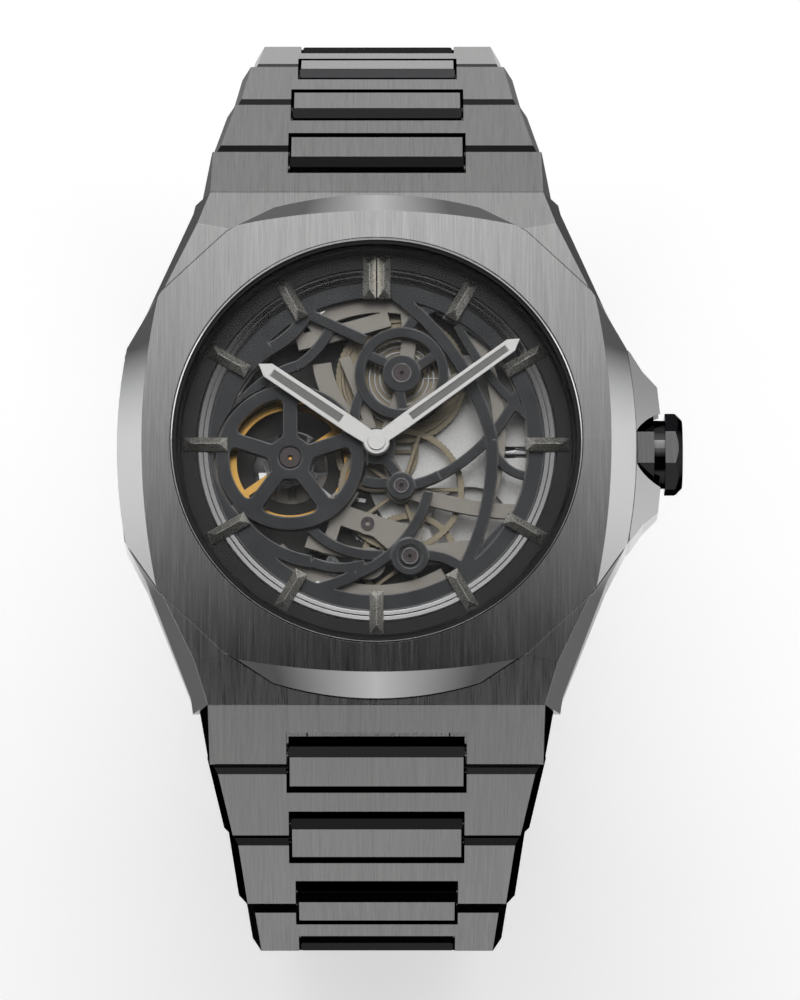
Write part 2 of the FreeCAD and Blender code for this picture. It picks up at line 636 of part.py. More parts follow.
def balance_wheel():
    """Rim with one cross arm and eight timing screws, on the staff with its roller."""
    low, high = BALANCE_LEVEL
    x, y = BALANCE_AXIS
    rim = ring(4.95, 4.3, low, high, BALANCE_AXIS)
    arm = box((x - 4.5, y - 0.3, low + 0.08), (x + 4.5, y + 0.3, high - 0.08))
    screws = []
    for i in range(8):
        middle = ((low + high) / 2,)
        start = polar(4.7, 12 + 45 * i, BALANCE_AXIS) + middle
        end = polar(5.15, 12 + 45 * i, BALANCE_AXIS) + middle
        screws.append(rod(0.2, start, end))
    roller = disc(0.8, WHEEL_1[0], WHEEL_1[1], BALANCE_AXIS)
    staff = disc(0.3, BALANCE_POCKET + 0.1, BRIDGE_TOP, BALANCE_AXIS)
    pivots = disc(PIVOT, PLATE_LOW + 0.2, FRONT_TOP - 0.2, BALANCE_AXIS)
    return joined([rim, turned_about(arm, 35, BALANCE_AXIS), roller, staff, pivots] + screws)


def hairspring():
    """Flat spiral spring in half-turn arcs, from its collet out to the stud."""
    low, high = 5.75, 5.93
    turns = []
    radius, step = 0.75, 0.19
    centre_x, direction = BALANCE_AXIS[0], 1
    for _ in range(14):
        start = (centre_x - direction * radius, BALANCE_AXIS[1])
        middle = (centre_x, BALANCE_AXIS[1] + direction * radius)
        end = (centre_x + direction * radius, BALANCE_AXIS[1])
        turns.append(rib(start, middle, end, 0.07, low, high))
        centre_x -= direction * step / 2
        radius += step / 2
        direction = -direction
    collet = ring(0.74, 0.3, low, high, BALANCE_AXIS)
    return joined([collet] + turns)


def pallet_fork():
    """Lever between the escape wheel and the balance's roller."""
    low, high = WHEEL_1
    reach = distance(FORK_AXIS, BALANCE_AXIS)
    angle = math.degrees(math.atan2(BALANCE_AXIS[1] - FORK_AXIS[1], BALANCE_AXIS[0] - FORK_AXIS[0]))
    lever = box((0, -0.14, low), (reach - 1.1, 0.14, high))
    horns = box((reach - 1.25, -0.42, low), (reach - 1.1, 0.42, high))
    arms = [rib((0, 0), (-0.7, side * 1.1), (-1.4, side * 1.55), 0.35, low, high) for side in (1, -1)]
    fork = joined([lever, horns] + arms)
    fork.rotate(vec(0, 0, 0), vec(0, 0, 1), angle)
    fork.translate(vec(FORK_AXIS[0], FORK_AXIS[1], 0))
    return joined([fork, short_arbor(FORK_AXIS, 0.28, PLATE_LOW + 0.2, high + 0.05)])


def escape_wheel():
    low, high = WHEEL_1
    centre = ESCAPE_AXIS
    wheel = gear(1.35, 15, low, high, centre, 0.2)
    wheel = wheel.cut(windows(0.95, 0.5, 4, 0.2, low, high, centre))
    pinion = gear(ESCAPE_REACH / (1 + FOURTH_RATIO), 7, high + 0.08, WHEEL_4[0] - 0.1, centre, 0.2)
    return joined([wheel, pinion, short_arbor(centre, 0.25, PIVOT_LOW, WHEEL_4[0] - 0.08)])


def fourth_wheel():
    centre = FOURTH_AXIS
    pinion_radius = distance(THIRD_AXIS, FOURTH_AXIS) / (1 + THIRD_RATIO)
    wheel_radius = ESCAPE_REACH * FOURTH_RATIO / (1 + FOURTH_RATIO)
    wheel = crossed_wheel(wheel_radius, 70, 5, WHEEL_3[0], WHEEL_3[1], centre, 0.25)
    pinion = gear(pinion_radius, 10, WHEEL_3[1], WHEEL_4[1] + 0.1, centre, 0.25)
    return joined([wheel, pinion, arbor(centre, 0.3)])


def third_wheel():
    centre = THIRD_AXIS
    wheel_radius = distance(THIRD_AXIS, FOURTH_AXIS) * THIRD_RATIO / (1 + THIRD_RATIO)
    pinion_radius = distance((0, 0), THIRD_AXIS) / (1 + CENTRE_RATIO)
    wheel = crossed_wheel(wheel_radius, 75, 5, WHEEL_4[0], WHEEL_4[1], centre, 0.25)
    pinion = gear(pinion_radius, 8, PLATE_TOP + 0.05, WHEEL_1[1] + 0.25, centre, 0.2)
    return joined([wheel, pinion, arbor(centre, 0.28)])


def centre_wheel():
    low, high = WHEEL_1
    top = WHEEL_4[0] - 0.05
    wheel_radius = distance((0, 0), THIRD_AXIS) * CENTRE_RATIO / (1 + CENTRE_RATIO)
    pinion_radius = distance((0, 0), BARREL_AXIS) / (1 + BARREL_RATIO)
    wheel = crossed_wheel(wheel_radius, 64, 5, low, high, (0, 0), 0.55)
    pinion = gear(pinion_radius, 12, high, top, (0, 0), 0.55)
    pipe = disc(0.6, low, top)
    foot = disc(0.4, PLATE_LOW + 0.2, low)
    return joined([wheel, pinion, pipe, foot])


def barrel():
    """Toothed drum of the mainspring, open at the top."""
    low, high = WHEEL_2
    centre = BARREL_AXIS
    radius = distance((0, 0), BARREL_AXIS) * BARREL_RATIO / (1 + BARREL_RATIO)
    drum = gear(radius, 72, low, high, centre, 0.3)
    wall = ring(radius - 0.5, radius - 0.75, high, high + 0.2, centre)
    hub = disc(0.8, low, high + 0.2, centre)
    return joined([drum, wall, hub, arbor(centre, 0.5)])


def mainspring():
    """Coiled strip in the barrel, drawn as nested hoops joined by a straight piece."""
    low, high = WHEEL_2[1] + 0.02, WHEEL_2[1] + 0.16
    x, y = BARREL_AXIS
    hoops = [ring(1.4 + 0.42 * i, 1.25 + 0.42 * i, low, high, BARREL_AXIS) for i in range(7)]
    strip = box((x + 0.8, y - 0.06, low), (x + 3.9, y + 0.06, high))
    return joined(hoops + [strip])


def automatic_bridge():
    """Rear bridge that carries the rotor's bearing."""
    low, high = 2.45, PLATE_LOW
    plate = disc(4.2, low, high)
    arms = [rib((0, 0), polar(6, degrees + 12), polar(12.0, degrees), 2.4, low, high)
            for degrees in (80, 200, 320)]
    holes = [disc(1.0, low, high)]
    holes += [disc(0.45, low, high, polar(11.2, degrees)) for degrees in (80, 200, 320)]
    return without(joined([plate] + arms), holes)


def rotor_bearing():
    """Post through the rotor's hub, with a head below it and a collar above it."""
    return joined([disc(0.98, 1.45, PLATE_LOW - 0.05), disc(1.5, 1.45, 1.61), disc(1.6, 2.2, 2.44)])


def rotor():
    """Half-disc winding weight with cut-outs and a heavy rim that hangs below it."""
    low, high = 1.65, 2.15
    plate = disc(12.6, low, high).cut(box((-14, 0.9, 1), (14, 14, 3)))
    rim = ring(12.6, 10.4, 1.37, low).cut(box((-14, -0.5, 1), (14, 14, 3)))
    gaps = windows(9.6, 3.6, 6, 1.3, low, high, (0, 0)).cut(box((-14, -1.1, 1), (14, 14, 3)))
    return joined([plate, rim, disc(2.4, low, high)]).cut(gaps).cut(disc(1.03, low, high))


def movement_ring():
    """Spacer that holds the movement in the middle of the case."""
    body = ring(CAVITY - 0.05, MOVEMENT_RADIUS + 0.03, 2.45, FRONT_LOW)
    return body.cut(rod(1.1, (12, 0, STEM_HEIGHT), (17, 0, STEM_HEIGHT)))


def jewels():
    """Ruby bearings, as separate rings in the front lattice and the bridges."""
    solids = []
    top = FRONT_TOP + 0.12
    for axis, outer in ((BARREL_AXIS, 0.72), (THIRD_AXIS, 0.54), (FOURTH_AXIS, 0.6)):
        solids.append(ring(outer, 0.18, top - 0.25, top, axis))
    high = FRONT_TOP + 0.2
    solids.append(ring(0.8, PIVOT + PIVOT_GAP, high - 0.23, high, BALANCE_AXIS))
    for axis in (ESCAPE_AXIS, FORK_AXIS):
        solids.append(ring(0.55, PIVOT + PIVOT_GAP, BRIDGE_TOP, BRIDGE_TOP + 0.15, axis))
    return Part.makeCompound(solids)


def movement_screws():
    """Slotted screws of the bridges, as separate solids."""
    solids = []
    for spot in screw_spots():
        screw = joined([disc(0.33, 4.2, BRIDGE_TOP, spot), disc(0.62, BRIDGE_TOP, BRIDGE_TOP + 0.18, spot)])
        slot = box((spot[0] - 0.7, spot[1] - 0.08, BRIDGE_TOP + 0.08), (spot[0] + 0.7, spot[1] + 0.08, 7))
        solids.append(screw.cut(slot))
    for degrees in (80, 200, 320):
        x, y = polar(11.2, degrees)
        solids.append(joined([disc(0.42, 2.45, PLATE_LOW, (x, y)), disc(0.7, 2.27, 2.45, (x, y))]))
    return Part.makeCompound(solids)


# ---------------------------------------------------------------- hands


def hand(length, width, tail, low, boss, bore, angle):
    """Pointed baton hand with a shallow tray for the luminous paint, turned to its time."""
    high = low + HAND_THICKNESS
    half = width / 2
    outline = [(-half * 0.8, -tail), (half * 0.8, -tail), (half, 2.5), (half * 0.92, length - 0.9),
               (0, length), (-half * 0.92, length - 0.9), (-half, 2.5)]
    blade = joined([prism(outline, low, high), disc(boss, low, high)])
    end = length - 1.3
    tray = prism([(-half * 0.5, 3.4), (half * 0.5, 3.4), (half * 0.45, end), (-half * 0.45, end)],
                 high - 0.09, high)
    blade = blade.cut(tray).cut(disc(bore, low, high))
    return turned_about(blade, -angle)


def hour_hand():
    pipe = ring(0.72, 0.5, 6.6, HOUR_HAND_LOW)
    return joined([hand(HOUR_LENGTH, 1.35, 0.5, HOUR_HAND_LOW, 1.05, 0.5, HOUR_ANGLE), pipe])


def minute_hand():
    blade = hand(MINUTE_LENGTH, 1.2, 0.5, MINUTE_HAND_LOW, 1.0, 0.3, MINUTE_ANGLE)
    post = joined([disc(0.4, 5.85, MINUTE_HAND_LOW), disc(0.3, MINUTE_HAND_LOW, 9.15)])
    cap = disc(0.7, 9.15, 9.3)
    return joined([blade, post, cap])


# ---------------------------------------------------------------- bracelet


class Place:
    """Where a link lies: the middle of its near edge on the outer face, and its slope."""

    def __init__(self, side, y, z, slope):
        self.side = side
        self.y = y
        self.z = z
        self.slope = slope

    def ahead(self, along, depth=0.0):
        """The (y, z) point that lies along the link and below its outer face."""
        angle = math.radians(self.slope)
        y = self.y + along * math.cos(angle) - depth * math.sin(angle)
        z = self.z - along * math.sin(angle) - depth * math.cos(angle)
        return y, z

    def set(self, shape):
        copy = shape.copy()
        copy.rotate(vec(0, 0, 0), vec(1, 0, 0), -self.slope)
        copy.translate(vec(0, self.y, self.z))
        if self.side < 0:
            copy.rotate(vec(0, 0, 0), vec(0, 0, 1), 180)
        return copy


def next_place(place, length, slope):
    """Lay the next link flat on, then bend it inwards about its hinge pin."""
    bend = math.radians(slope - place.slope)
    y, z = place.ahead(length)
    pin_y, pin_z = place.ahead(length - HINGE_BACK, PIN_DEPTH)
    dy, dz = y - pin_y, z - pin_z
    y = pin_y + dy * math.cos(bend) + dz * math.sin(bend)
    z = pin_z - dy * math.sin(bend) + dz * math.cos(bend)
    return Place(place.side, y, z, slope), (pin_y, pin_z)


def places(side, slopes):
    """Places of the end link and of every row after it, with each row's hinge point."""
    place = Place(side, CASE_END, END_LINK_TOP, END_LINK_SLOPE)
    found = [(place, None)]
    length = END_LINK_LENGTH
    for slope in slopes:
        place, hinge = next_place(place, length, slope)
        found.append((place, hinge))
        length = LINK_PITCH
    return found


def from_list(values, row):
    return values[min(row, len(values) - 1)]


def link_section(length, start):
    """Side view of a link: bevelled outer edges, and inner edges cut back so that it can bend."""
    end = length - LINK_GAP
    bottom = -LINK_THICKNESS
    return [
        (start + NEAR_BEVEL, 0), (end - EDGE_BEVEL, 0), (end, -EDGE_BEVEL), (end, -PIN_DEPTH - 0.1),
        (end - 0.8, bottom), (start + 0.5, bottom), (start, -PIN_DEPTH - 0.1), (start, -NEAR_BEVEL),
    ]


def tapered_body(section, length, near, far):
    """A link's body, narrower at its far end, with a polished facet down each side."""
    body = side_profile(section, near + 3)
    grown = SIDE_FACET
    plan = [(-near - grown, 0), (near + grown, 0), (far + grown, length), (-far - grown, length)]
    body = body.common(prism(plan, -8, 3))
    for side in (1, -1):
        a = (side * near, 0, 0)
        b = (side * far, length, 0)
        c = (side * (near + grown), 0, -FACET_DEPTH)
        order = (a, c, b) if side > 0 else (a, b, c)
        body = cut_beyond(body, *order)
    return body


def pin(half_length, along):
    return rod(PIN_RADIUS, (-half_length, along, -PIN_DEPTH), (half_length, along, -PIN_DEPTH))


def pin_bore(half_length, along, gap):
    reach = half_length + 0.01
    return rod(PIN_RADIUS + gap, (-reach, along, -PIN_DEPTH), (reach, along, -PIN_DEPTH))


def centre_block(half_width):
    """Brick between two links: it turns on the hinge pin and is fixed by the anchor pin."""
    low = -LINK_THICKNESS + 0.1
    block = box((-half_width, -BLOCK_BACK, low), (half_width, BLOCK_FORWARD, 0))
    block = block.makeChamfer(EDGE_BEVEL, block.Edges)
    block = cut_beyond(block, (0, -BLOCK_BACK, -NEAR_BEVEL), (0, -BLOCK_BACK + NEAR_BEVEL, 0),
                       (-1, -BLOCK_BACK, -NEAR_BEVEL))
    return cut_beyond(block, (0, -BLOCK_BACK, low + 0.8), (0, -BLOCK_BACK + 0.5, low),
                      (1, -BLOCK_BACK, low + 0.8))


def blade_relief(half_width):
    """Slope on the inner side of the last row's notch, which leaves room as the clasp opens."""
    floor = LINK_PITCH - NOTCH
    low = -LINK_THICKNESS
    section = [(floor + 0.01, low + RELIEF_RISE), (floor - RELIEF_DEPTH, low - 0.1),
               (floor + 0.01, low - 0.1)]
    return side_profile(section, half_width + BLOCK_CLEARANCE)


def row_parts(row, last_row):
    """Link, centre block and its anchor pin of one row, and the hinge pin for the next row."""
    near, far = from_list(FACE_WIDTHS, row)
    width = from_list(BLOCK_WIDTHS, row)
    next_width = from_list(BLOCK_WIDTHS, row + 1)
    body = tapered_body(link_section(LINK_PITCH, LINK_GAP), LINK_PITCH, near, far)
    hinge_at = LINK_PITCH - HINGE_BACK
    anchor_half = width + 2.0
    hinge_half = next_width + 2.0
    low, high = -LINK_THICKNESS - 1, 1
    tools = [
        box((-width - BLOCK_CLEARANCE, -1, low), (width + BLOCK_CLEARANCE, NOTCH, high)),
        box((-next_width - BLOCK_CLEARANCE, LINK_PITCH - NOTCH, low),
            (next_width + BLOCK_CLEARANCE, LINK_PITCH + 1, high)),
        pin_bore(anchor_half, ANCHOR_FORWARD, 0.01),
        pin_bore(hinge_half, hinge_at, 0.01),
    ]
    if last_row:
        tools.append(blade_relief(next_width))
    block = centre_block(width)
    block = block.cut(pin_bore(width + 1, -HINGE_BACK, PIN_GAP))
    block = block.cut(pin_bore(width + 1, ANCHOR_FORWARD, 0.01))
    solids = [without(body, tools), block, pin(anchor_half, ANCHOR_FORWARD)]
    if not last_row:
        solids.append(pin(hinge_half, hinge_at))
    return solids


def end_link(side):
    """Fixed link between the case and the bracelet, with the first hinge pin."""
    place = places(side, SLOPES_12)[0][0]
    length = END_LINK_LENGTH
    section = [
        (-6, 0), (length - LINK_GAP - EDGE_BEVEL, 0), (length - LINK_GAP, -EDGE_BEVEL),
        (length - LINK_GAP, -PIN_DEPTH - 0.1), (length - LINK_GAP - 0.8, -LINK_THICKNESS),
        (-6, -LINK_THICKNESS),
    ]
    body = side_profile(section, 14.6)
    for x_side in (1, -1):
        a = (x_side * END_LINK_FACE, 0, 0)
        b = (x_side * (END_LINK_FACE - 0.1), length, 0)
        c = (x_side * (END_LINK_FACE + 1.2), 0, -4.0)
        order = (a, c, b) if x_side > 0 else (a, b, c)
        body = cut_beyond(body, *order)
        a = (x_side * 14.6, 0, 0)
        b = (x_side * 13.35, length, 0)
        c = (x_side * 14.6, 0, -4.0)
        order = (a, c, b) if x_side > 0 else (a, b, c)
        body = cut_beyond(body, *order)
    width = BLOCK_WIDTHS[0]
    hinge_at = length - HINGE_BACK
    body = body.cut(box((-width - BLOCK_CLEARANCE, 2.65, -8), (width + BLOCK_CLEARANCE, 9, 1)))
    body = body.cut(pin_bore(width + 2.0, hinge_at, 0.01))
    straight = Place(1, place.y, place.z, place.slope)
    body = straight.set(body)
    body = body.common(box((-20, CASE_END + 0.02, -10), (20, 40, 20)))
    shaft = straight.set(pin(width + 2.0, hinge_at))
    whole = Part.makeCompound([body, shaft])
    if side < 0:
        whole.rotate(vec(0, 0, 0), vec(0, 0, 1), 180)
    return whole


def row(side, slopes, index):
    """One moving row of the bracelet, laid where it rests."""
    place = places(side, slopes)[index + 1][0]
    last = side > 0 and index == len(slopes) - 1
    return Part.makeCompound([place.set(solid) for solid in row_parts(index, last)])


# ---------------------------------------------------------------- clasp


def clasp_place(side, slopes):
    """Place of the clasp's own centre block, the next one after the last row, and its hinge."""
    last = places(side, slopes)[-1][0]
    return next_place(last, LINK_PITCH, CLASP_SLOPE)


def clasp_centre():
    """Height of the middle of the arc that the closed clasp follows, in the plane x = 0."""
    y, z = clasp_place(1, SLOPES_12)[0].ahead(0)
    return z + math.sqrt(CLASP_RADIUS ** 2 - y ** 2)


def clasp_point(radius, degrees):
    """(y, z) point on the clasp's arc, in degrees from straight down towards 12 o'clock."""
    angle = math.radians(degrees)
    return radius * math.sin(angle), clasp_centre() - radius * math.cos(angle)


def arc_plate(outer, inner, start, end, low_x, high_x):
    """Plate between two x values that is bent about X, from start to end degrees."""
    middle = (start + end) / 2

    def point(radius, degrees):
        y, z = clasp_point(radius, degrees)
        return vec(low_x, y, z)

    edges = [
        Part.Arc(point(outer, start), point(outer, middle), point(outer, end)).toShape(),
        Part.LineSegment(point(outer, end), point(inner, end)).toShape(),
        Part.Arc(point(inner, end), point(inner, middle), point(inner, start)).toShape(),
        Part.LineSegment(point(inner, start), point(outer, start)).toShape(),
    ]
    return Part.Face(Part.Wire(edges)).extrude(vec(high_x - low_x, 0, 0))


def cross_rod(radius, spot, start, end):
    """Round bar along X through a (y, z) spot."""
    return rod(radius, (start,) + spot, (end,) + spot)


def edge_degrees():
    """How far round the clasp's cover reaches on each side."""
    y, _ = clasp_place(1, SLOPES_12)[0].ahead(0.15)
    return math.degrees(math.asin(y / CLASP_RADIUS))


def clasp_block(side, slopes):
    """Centre block by which a clasp piece hangs in the last row's notch."""
    width = BLOCK_WIDTHS[-1]
    block = centre_block(width)
    return clasp_place(side, slopes)[0].set(block)


def clasp_cover():
    """Outer shell of the clasp, hinged to the last row on the 6 o'clock side."""
    reach = edge_degrees()
    body = arc_plate(CLASP_RADIUS, CLASP_INNER, -reach, reach, -CLASP_HALF, CLASP_HALF)
    room = CLASP_HALF - WALL
    body = body.cut(arc_plate(CLASP_RADIUS - COVER_SHEET, 50, -reach - 1, reach + 1, -room, room))
    width = BLOCK_WIDTHS[-1] + BLOCK_CLEARANCE
    notch = arc_plate(CLASP_RADIUS + 1, 50, reach - 2.4, reach + 2, -width, width)
    spot = clasp_point(HINGE_1_RADIUS, HINGE_1)
    slots = [pusher_slot(side) for side in (1, -1)]
    bore = cross_rod(0.51, spot, -CLASP_HALF, CLASP_HALF)
    body = without(body, [notch, bore] + slots)
    body = joined([body, clasp_block(-1, SLOPES_6)])
    for side in (1, -1):
        corner = arc_plate(CLASP_RADIUS + 1, CLASP_RADIUS - 0.35, -reach, reach,
                           *sorted((side * (CLASP_HALF - 0.35), side * (CLASP_HALF + 1))))
        body = body.cut(corner)
    hinge = clasp_place(-1, SLOPES_6)[1]
    body = body.cut(cross_rod(PIN_RADIUS + PIN_GAP, (-hinge[0], hinge[1]), -12, 12))
    return Part.makeCompound([body, cross_rod(0.5, spot, -CLASP_HALF + 0.2, CLASP_HALF - 0.2)])


def pusher_slot(side):
    y, z = clasp_point(PUSHER_RADIUS, PUSHER_AT)
    low_x, high_x = sorted((side * 7, side * 11))
    return box((low_x, y - 1.6, z - 0.7), (high_x, y + 1.6, z + 0.7))


def clasp_pusher(side):
    """Push button that slides inwards through the cover's wall."""
    y, z = clasp_point(PUSHER_RADIUS, PUSHER_AT)
    room = CLASP_HALF - WALL - 0.05
    shaft_x = sorted((side * (room - 0.6), side * (CLASP_HALF + 0.65)))
    flange_x = sorted((side * (room - 0.6), side * room))
    shaft = box((shaft_x[0], y - 1.5, z - 0.6), (shaft_x[1], y + 1.5, z + 0.6))
    outer = [edge for edge in shaft.Edges if all(abs(v.X) > CLASP_HALF for v in edge.Vertexes)]
    shaft = shaft.makeChamfer(0.15, outer)
    flange = box((flange_x[0], y - 2.1, z - 0.6), (flange_x[1], y + 2.1, z + 0.6))
    return joined([shaft, flange])


def outer_blade():
    """Blade under the cover: hinged to the cover near the 12 o'clock end."""
    low, high = BLADE_1_RADIUS - BLADE_SHEET, BLADE_1_RADIUS
    plate = arc_plate(high, low, HINGE_2, HINGE_1, -BLADE_HALF, BLADE_HALF)
    first, second = clasp_point(HINGE_1_RADIUS, HINGE_1), clasp_point(HINGE_2_RADIUS, HINGE_2)
    side_room = [
        arc_plate(high + 1, 50, HINGE_2 - 3, HINGE_2 + 1.1, *sorted((side * 3.0, side * 8)))
        for side in (1, -1)
    ]
    slots = [arc_plate(60, 50, start, start + 5.5, -1.2, 1.2) for start in (-8.5, -1.0)]
    plate = without(plate, side_room + slots)
    body = joined([plate, cross_rod(KNUCKLE, first, -BLADE_HALF, BLADE_HALF),
                   cross_rod(KNUCKLE, second, -3.0, 3.0)])
    body = body.cut(cross_rod(0.55, first, -7, 7)).cut(cross_rod(0.46, second, -7, 7))
    return Part.makeCompound([body, cross_rod(PIN_RADIUS, second, -BLADE_HALF + 0.1, BLADE_HALF - 0.1)])


def inner_blade():
    """Blade against the wrist: hinged to the outer blade, with the block that the 12 o'clock
    side of the bracelet hangs on and its spring bar, drawn squeezed shorter than the notch."""
    low, high = BLADE_2_RADIUS - BLADE_SHEET, BLADE_2_RADIUS
    reach = edge_degrees()
    plate = arc_plate(high, low, HINGE_2, reach - 0.2, -BLADE_HALF + 0.1, BLADE_HALF - 0.1)
    neck = arc_plate(CLASP_RADIUS - 1.5, low, reach - 2.0, reach - 0.2, -5.5, 5.5)
    second = clasp_point(HINGE_2_RADIUS, HINGE_2)
    middle_room = arc_plate(high + 1, 50, HINGE_2 - 3, HINGE_2 + 1.1, -3.1, 3.1)
    slots = [arc_plate(60, 50, start, start + 5.5, -1.2, 1.2) for start in (-9.0, -1.0)]
    plate = without(plate, [middle_room] + slots)
    far = BLADE_HALF - 0.1
    knuckles = [cross_rod(KNUCKLE, second, 3.1, far), cross_rod(KNUCKLE, second, -far, -3.1)]
    body = joined([plate, neck] + knuckles + [clasp_block(1, SLOPES_12)])
    hinge = clasp_place(1, SLOPES_12)[1]
    body = body.cut(cross_rod(PIN_RADIUS + PIN_GAP, second, -7, 7))
    body = body.cut(cross_rod(PIN_RADIUS + 0.01, hinge, -7, 7))
    half = BLOCK_WIDTHS[-1] - 0.05
    return Part.makeCompound([body, cross_rod(PIN_RADIUS, hinge, -half, half)])


if __name__ == "__main__":
    os.makedirs("parts", exist_ok=True)
    NODES = {
        "case_middle": case_middle,
        "bezel": bezel,
        "crystal": crystal,
        "crystal_gasket": crystal_gasket,
        "rehaut": rehaut,
        "hour_markers": hour_markers,
        "case_back_ring": case_back_ring,
        "case_back_glass": case_back_glass,
        "case_back_gasket": case_back_gasket,
        "case_back_screws": case_back_screws,
        "crown_tube": crown_tube,
        "crown": crown,
        "winding_stem": winding_stem,
        "winding_pinion": winding_pinion,
        "movement_ring": movement_ring,
        "main_plate": main_plate,
        "bridge_plates": bridge_plates,
        "skeleton_dial": skeleton_dial,
        "balance_bridge": balance_bridge,
        "balance_wheel": balance_wheel,
        "hairspring": hairspring,
        "pallet_fork": pallet_fork,
        "escape_wheel": escape_wheel,
        "fourth_wheel": fourth_wheel,
        "third_wheel": third_wheel,
        "centre_wheel": centre_wheel,
        "barrel": barrel,
        "mainspring": mainspring,
        "automatic_bridge": automatic_bridge,
        "rotor_bearing": rotor_bearing,
        "rotor": rotor,
        "jewels": jewels,
        "movement_screws": movement_screws,
        "hour_hand": hour_hand,
        "minute_hand": minute_hand,
        "clasp_cover": clasp_cover,
        "clasp_outer_blade": outer_blade,
        "clasp_inner_blade": inner_blade,
        "clasp_pusher_right": lambda: clasp_pusher(1),
        "clasp_pusher_left": lambda: clasp_pusher(-1),
    }
    for name, make in NODES.items():
        make().exportStep("parts/" + name + ".step")
    for side, label, slopes in ((1, "12", SLOPES_12), (-1, "6", SLOPES_6)):
        end_link(side).exportStep("parts/end_link_" + label + ".step")
        for index in range(len(slopes)):
            row(side, slopes, index).exportStep("parts/link_%s_%d.step" % (label, index + 1))
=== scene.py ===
"""Looks of a skeleton wristwatch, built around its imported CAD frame.

Dial along +Z, 12 o'clock along +Y, crown along +X, metres throughout.
"""

import bpy
import bmesh
import json
import math
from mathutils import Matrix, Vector


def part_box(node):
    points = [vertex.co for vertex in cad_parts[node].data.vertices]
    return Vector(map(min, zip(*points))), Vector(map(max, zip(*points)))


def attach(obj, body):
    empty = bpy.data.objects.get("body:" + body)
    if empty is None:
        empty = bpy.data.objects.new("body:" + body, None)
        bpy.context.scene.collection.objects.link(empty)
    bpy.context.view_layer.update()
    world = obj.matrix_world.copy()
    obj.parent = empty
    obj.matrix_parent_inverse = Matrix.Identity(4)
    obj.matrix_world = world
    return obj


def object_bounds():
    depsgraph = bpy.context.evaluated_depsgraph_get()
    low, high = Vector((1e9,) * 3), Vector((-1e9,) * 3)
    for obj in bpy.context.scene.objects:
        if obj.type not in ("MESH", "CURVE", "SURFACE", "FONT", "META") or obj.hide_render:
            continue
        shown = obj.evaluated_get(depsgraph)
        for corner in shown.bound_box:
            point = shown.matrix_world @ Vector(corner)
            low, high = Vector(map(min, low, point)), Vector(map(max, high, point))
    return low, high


MM = 0.001

# Camera
VIEW_TILT = 11.0                      # degrees from the dial's normal towards 6 o'clock
VIEW_DISTANCE = 0.6
VIEW_WIDTH = 63.7 * MM                # width of the picture at the hands
AIM = Vector((1.87, -4.7, 0)) * MM    # middle of the picture from the hub, in the picture's plane

# Finishes: linear colours
GUNMETAL = (0.30, 0.298, 0.297)
LINK_STEEL = (0.20, 0.198, 0.197)
POLISHED = (0.42, 0.42, 0.425)
# bezel facets: painted reflection, bright in the middle of each side
BRIGHT_FACET = (0.54, 0.54, 0.545)
# case side facets: painted reflection, darker beside the crown
GUARD_FACET = (0.24, 0.24, 0.243)
# bezel facets: painted dark reflection towards the corners
PAINTED_DARK_REFLECTION = (0.07, 0.07, 0.072)
# case side facets: painted reflection, lighter on the shoulders
SHOULDER_FACET = (0.50, 0.50, 0.505)
SHOULDER_GLANCE = (0.01, 0.01, 0.01)  # tint that paints the shoulders' reflection near black at glancing angles, a painted dark reflection
# near black colour of polished side facets: a painted dark reflection
PAINTED_DARK_FACET = (0.022, 0.022, 0.023)
PAINTED_DARK_GLANCE = (0.15, 0.15, 0.15)      # tint that paints a dark facet's reflection at glancing angles
LATTICE = (0.055, 0.057, 0.060)
# painted highlight along the edges of the dial's lattice
LATTICE_HIGHLIGHT = (0.60, 0.60, 0.61)
WARM_STEEL = (0.34, 0.318, 0.288)
SILVER = (0.80, 0.795, 0.78)
# dark grey of the main plate beyond the silver circle
PLATE_DARK_GREY = (0.085, 0.084, 0.082)
CHAPTER_STEEL = (0.28, 0.28, 0.28)
MARKER_STEEL = (0.86, 0.80, 0.74)
HAND_STEEL = (0.82, 0.815, 0.80)
LUME_GREY = (0.36, 0.36, 0.348)
BLACK = (0.012, 0.012, 0.013)
BRASS = (0.33, 0.285, 0.21)
GILT = (0.80, 0.47, 0.13)
RUBY = (0.030, 0.002, 0.006)
RUBBER = (0.015, 0.015, 0.016)

ROUNDING = 0.06 * MM                  # radius that sharp edges seem to have
BRUSH_STROKES = (9500.0, 260.0, 260.0)    # noise per metre across and along the fine strokes
BRUSH_BANDS = (1500.0, 70.0, 70.0)        # and of the wide bands among them
CORNER_REACH = 12.5 * MM              # how far out the bezel's facets are painted fully dark, as a square's half side
END_SHADE = 0.4                       # how much darker the bezel's facets at 12 and 6 o'clock are painted, as painted reflection
SHOULDER_START = 8.0 * MM             # from the 3 to 9 o'clock line to where the side facets change
SHOULDER_END = 12.0 * MM              # and to where they are fully the shoulders' finish
SILVER_MIDDLE = Vector((7.5, -0.5, 4.5)) * MM    # the main plate is silver round this point
SILVER_REACH = 8.5 * MM
STRIPE = 1.6 * MM                     # width of a stripe and its gap on the rear bridge
LATTICE_RIM = 0.18 * MM               # how far in the painted highlight along the dial's lattice edges reaches

# Light
WALL_LIGHT = 1.15
CEILING_LIGHT = 1.45
TABLE_GLOW = 0.42                     # the floor is a softly lit table

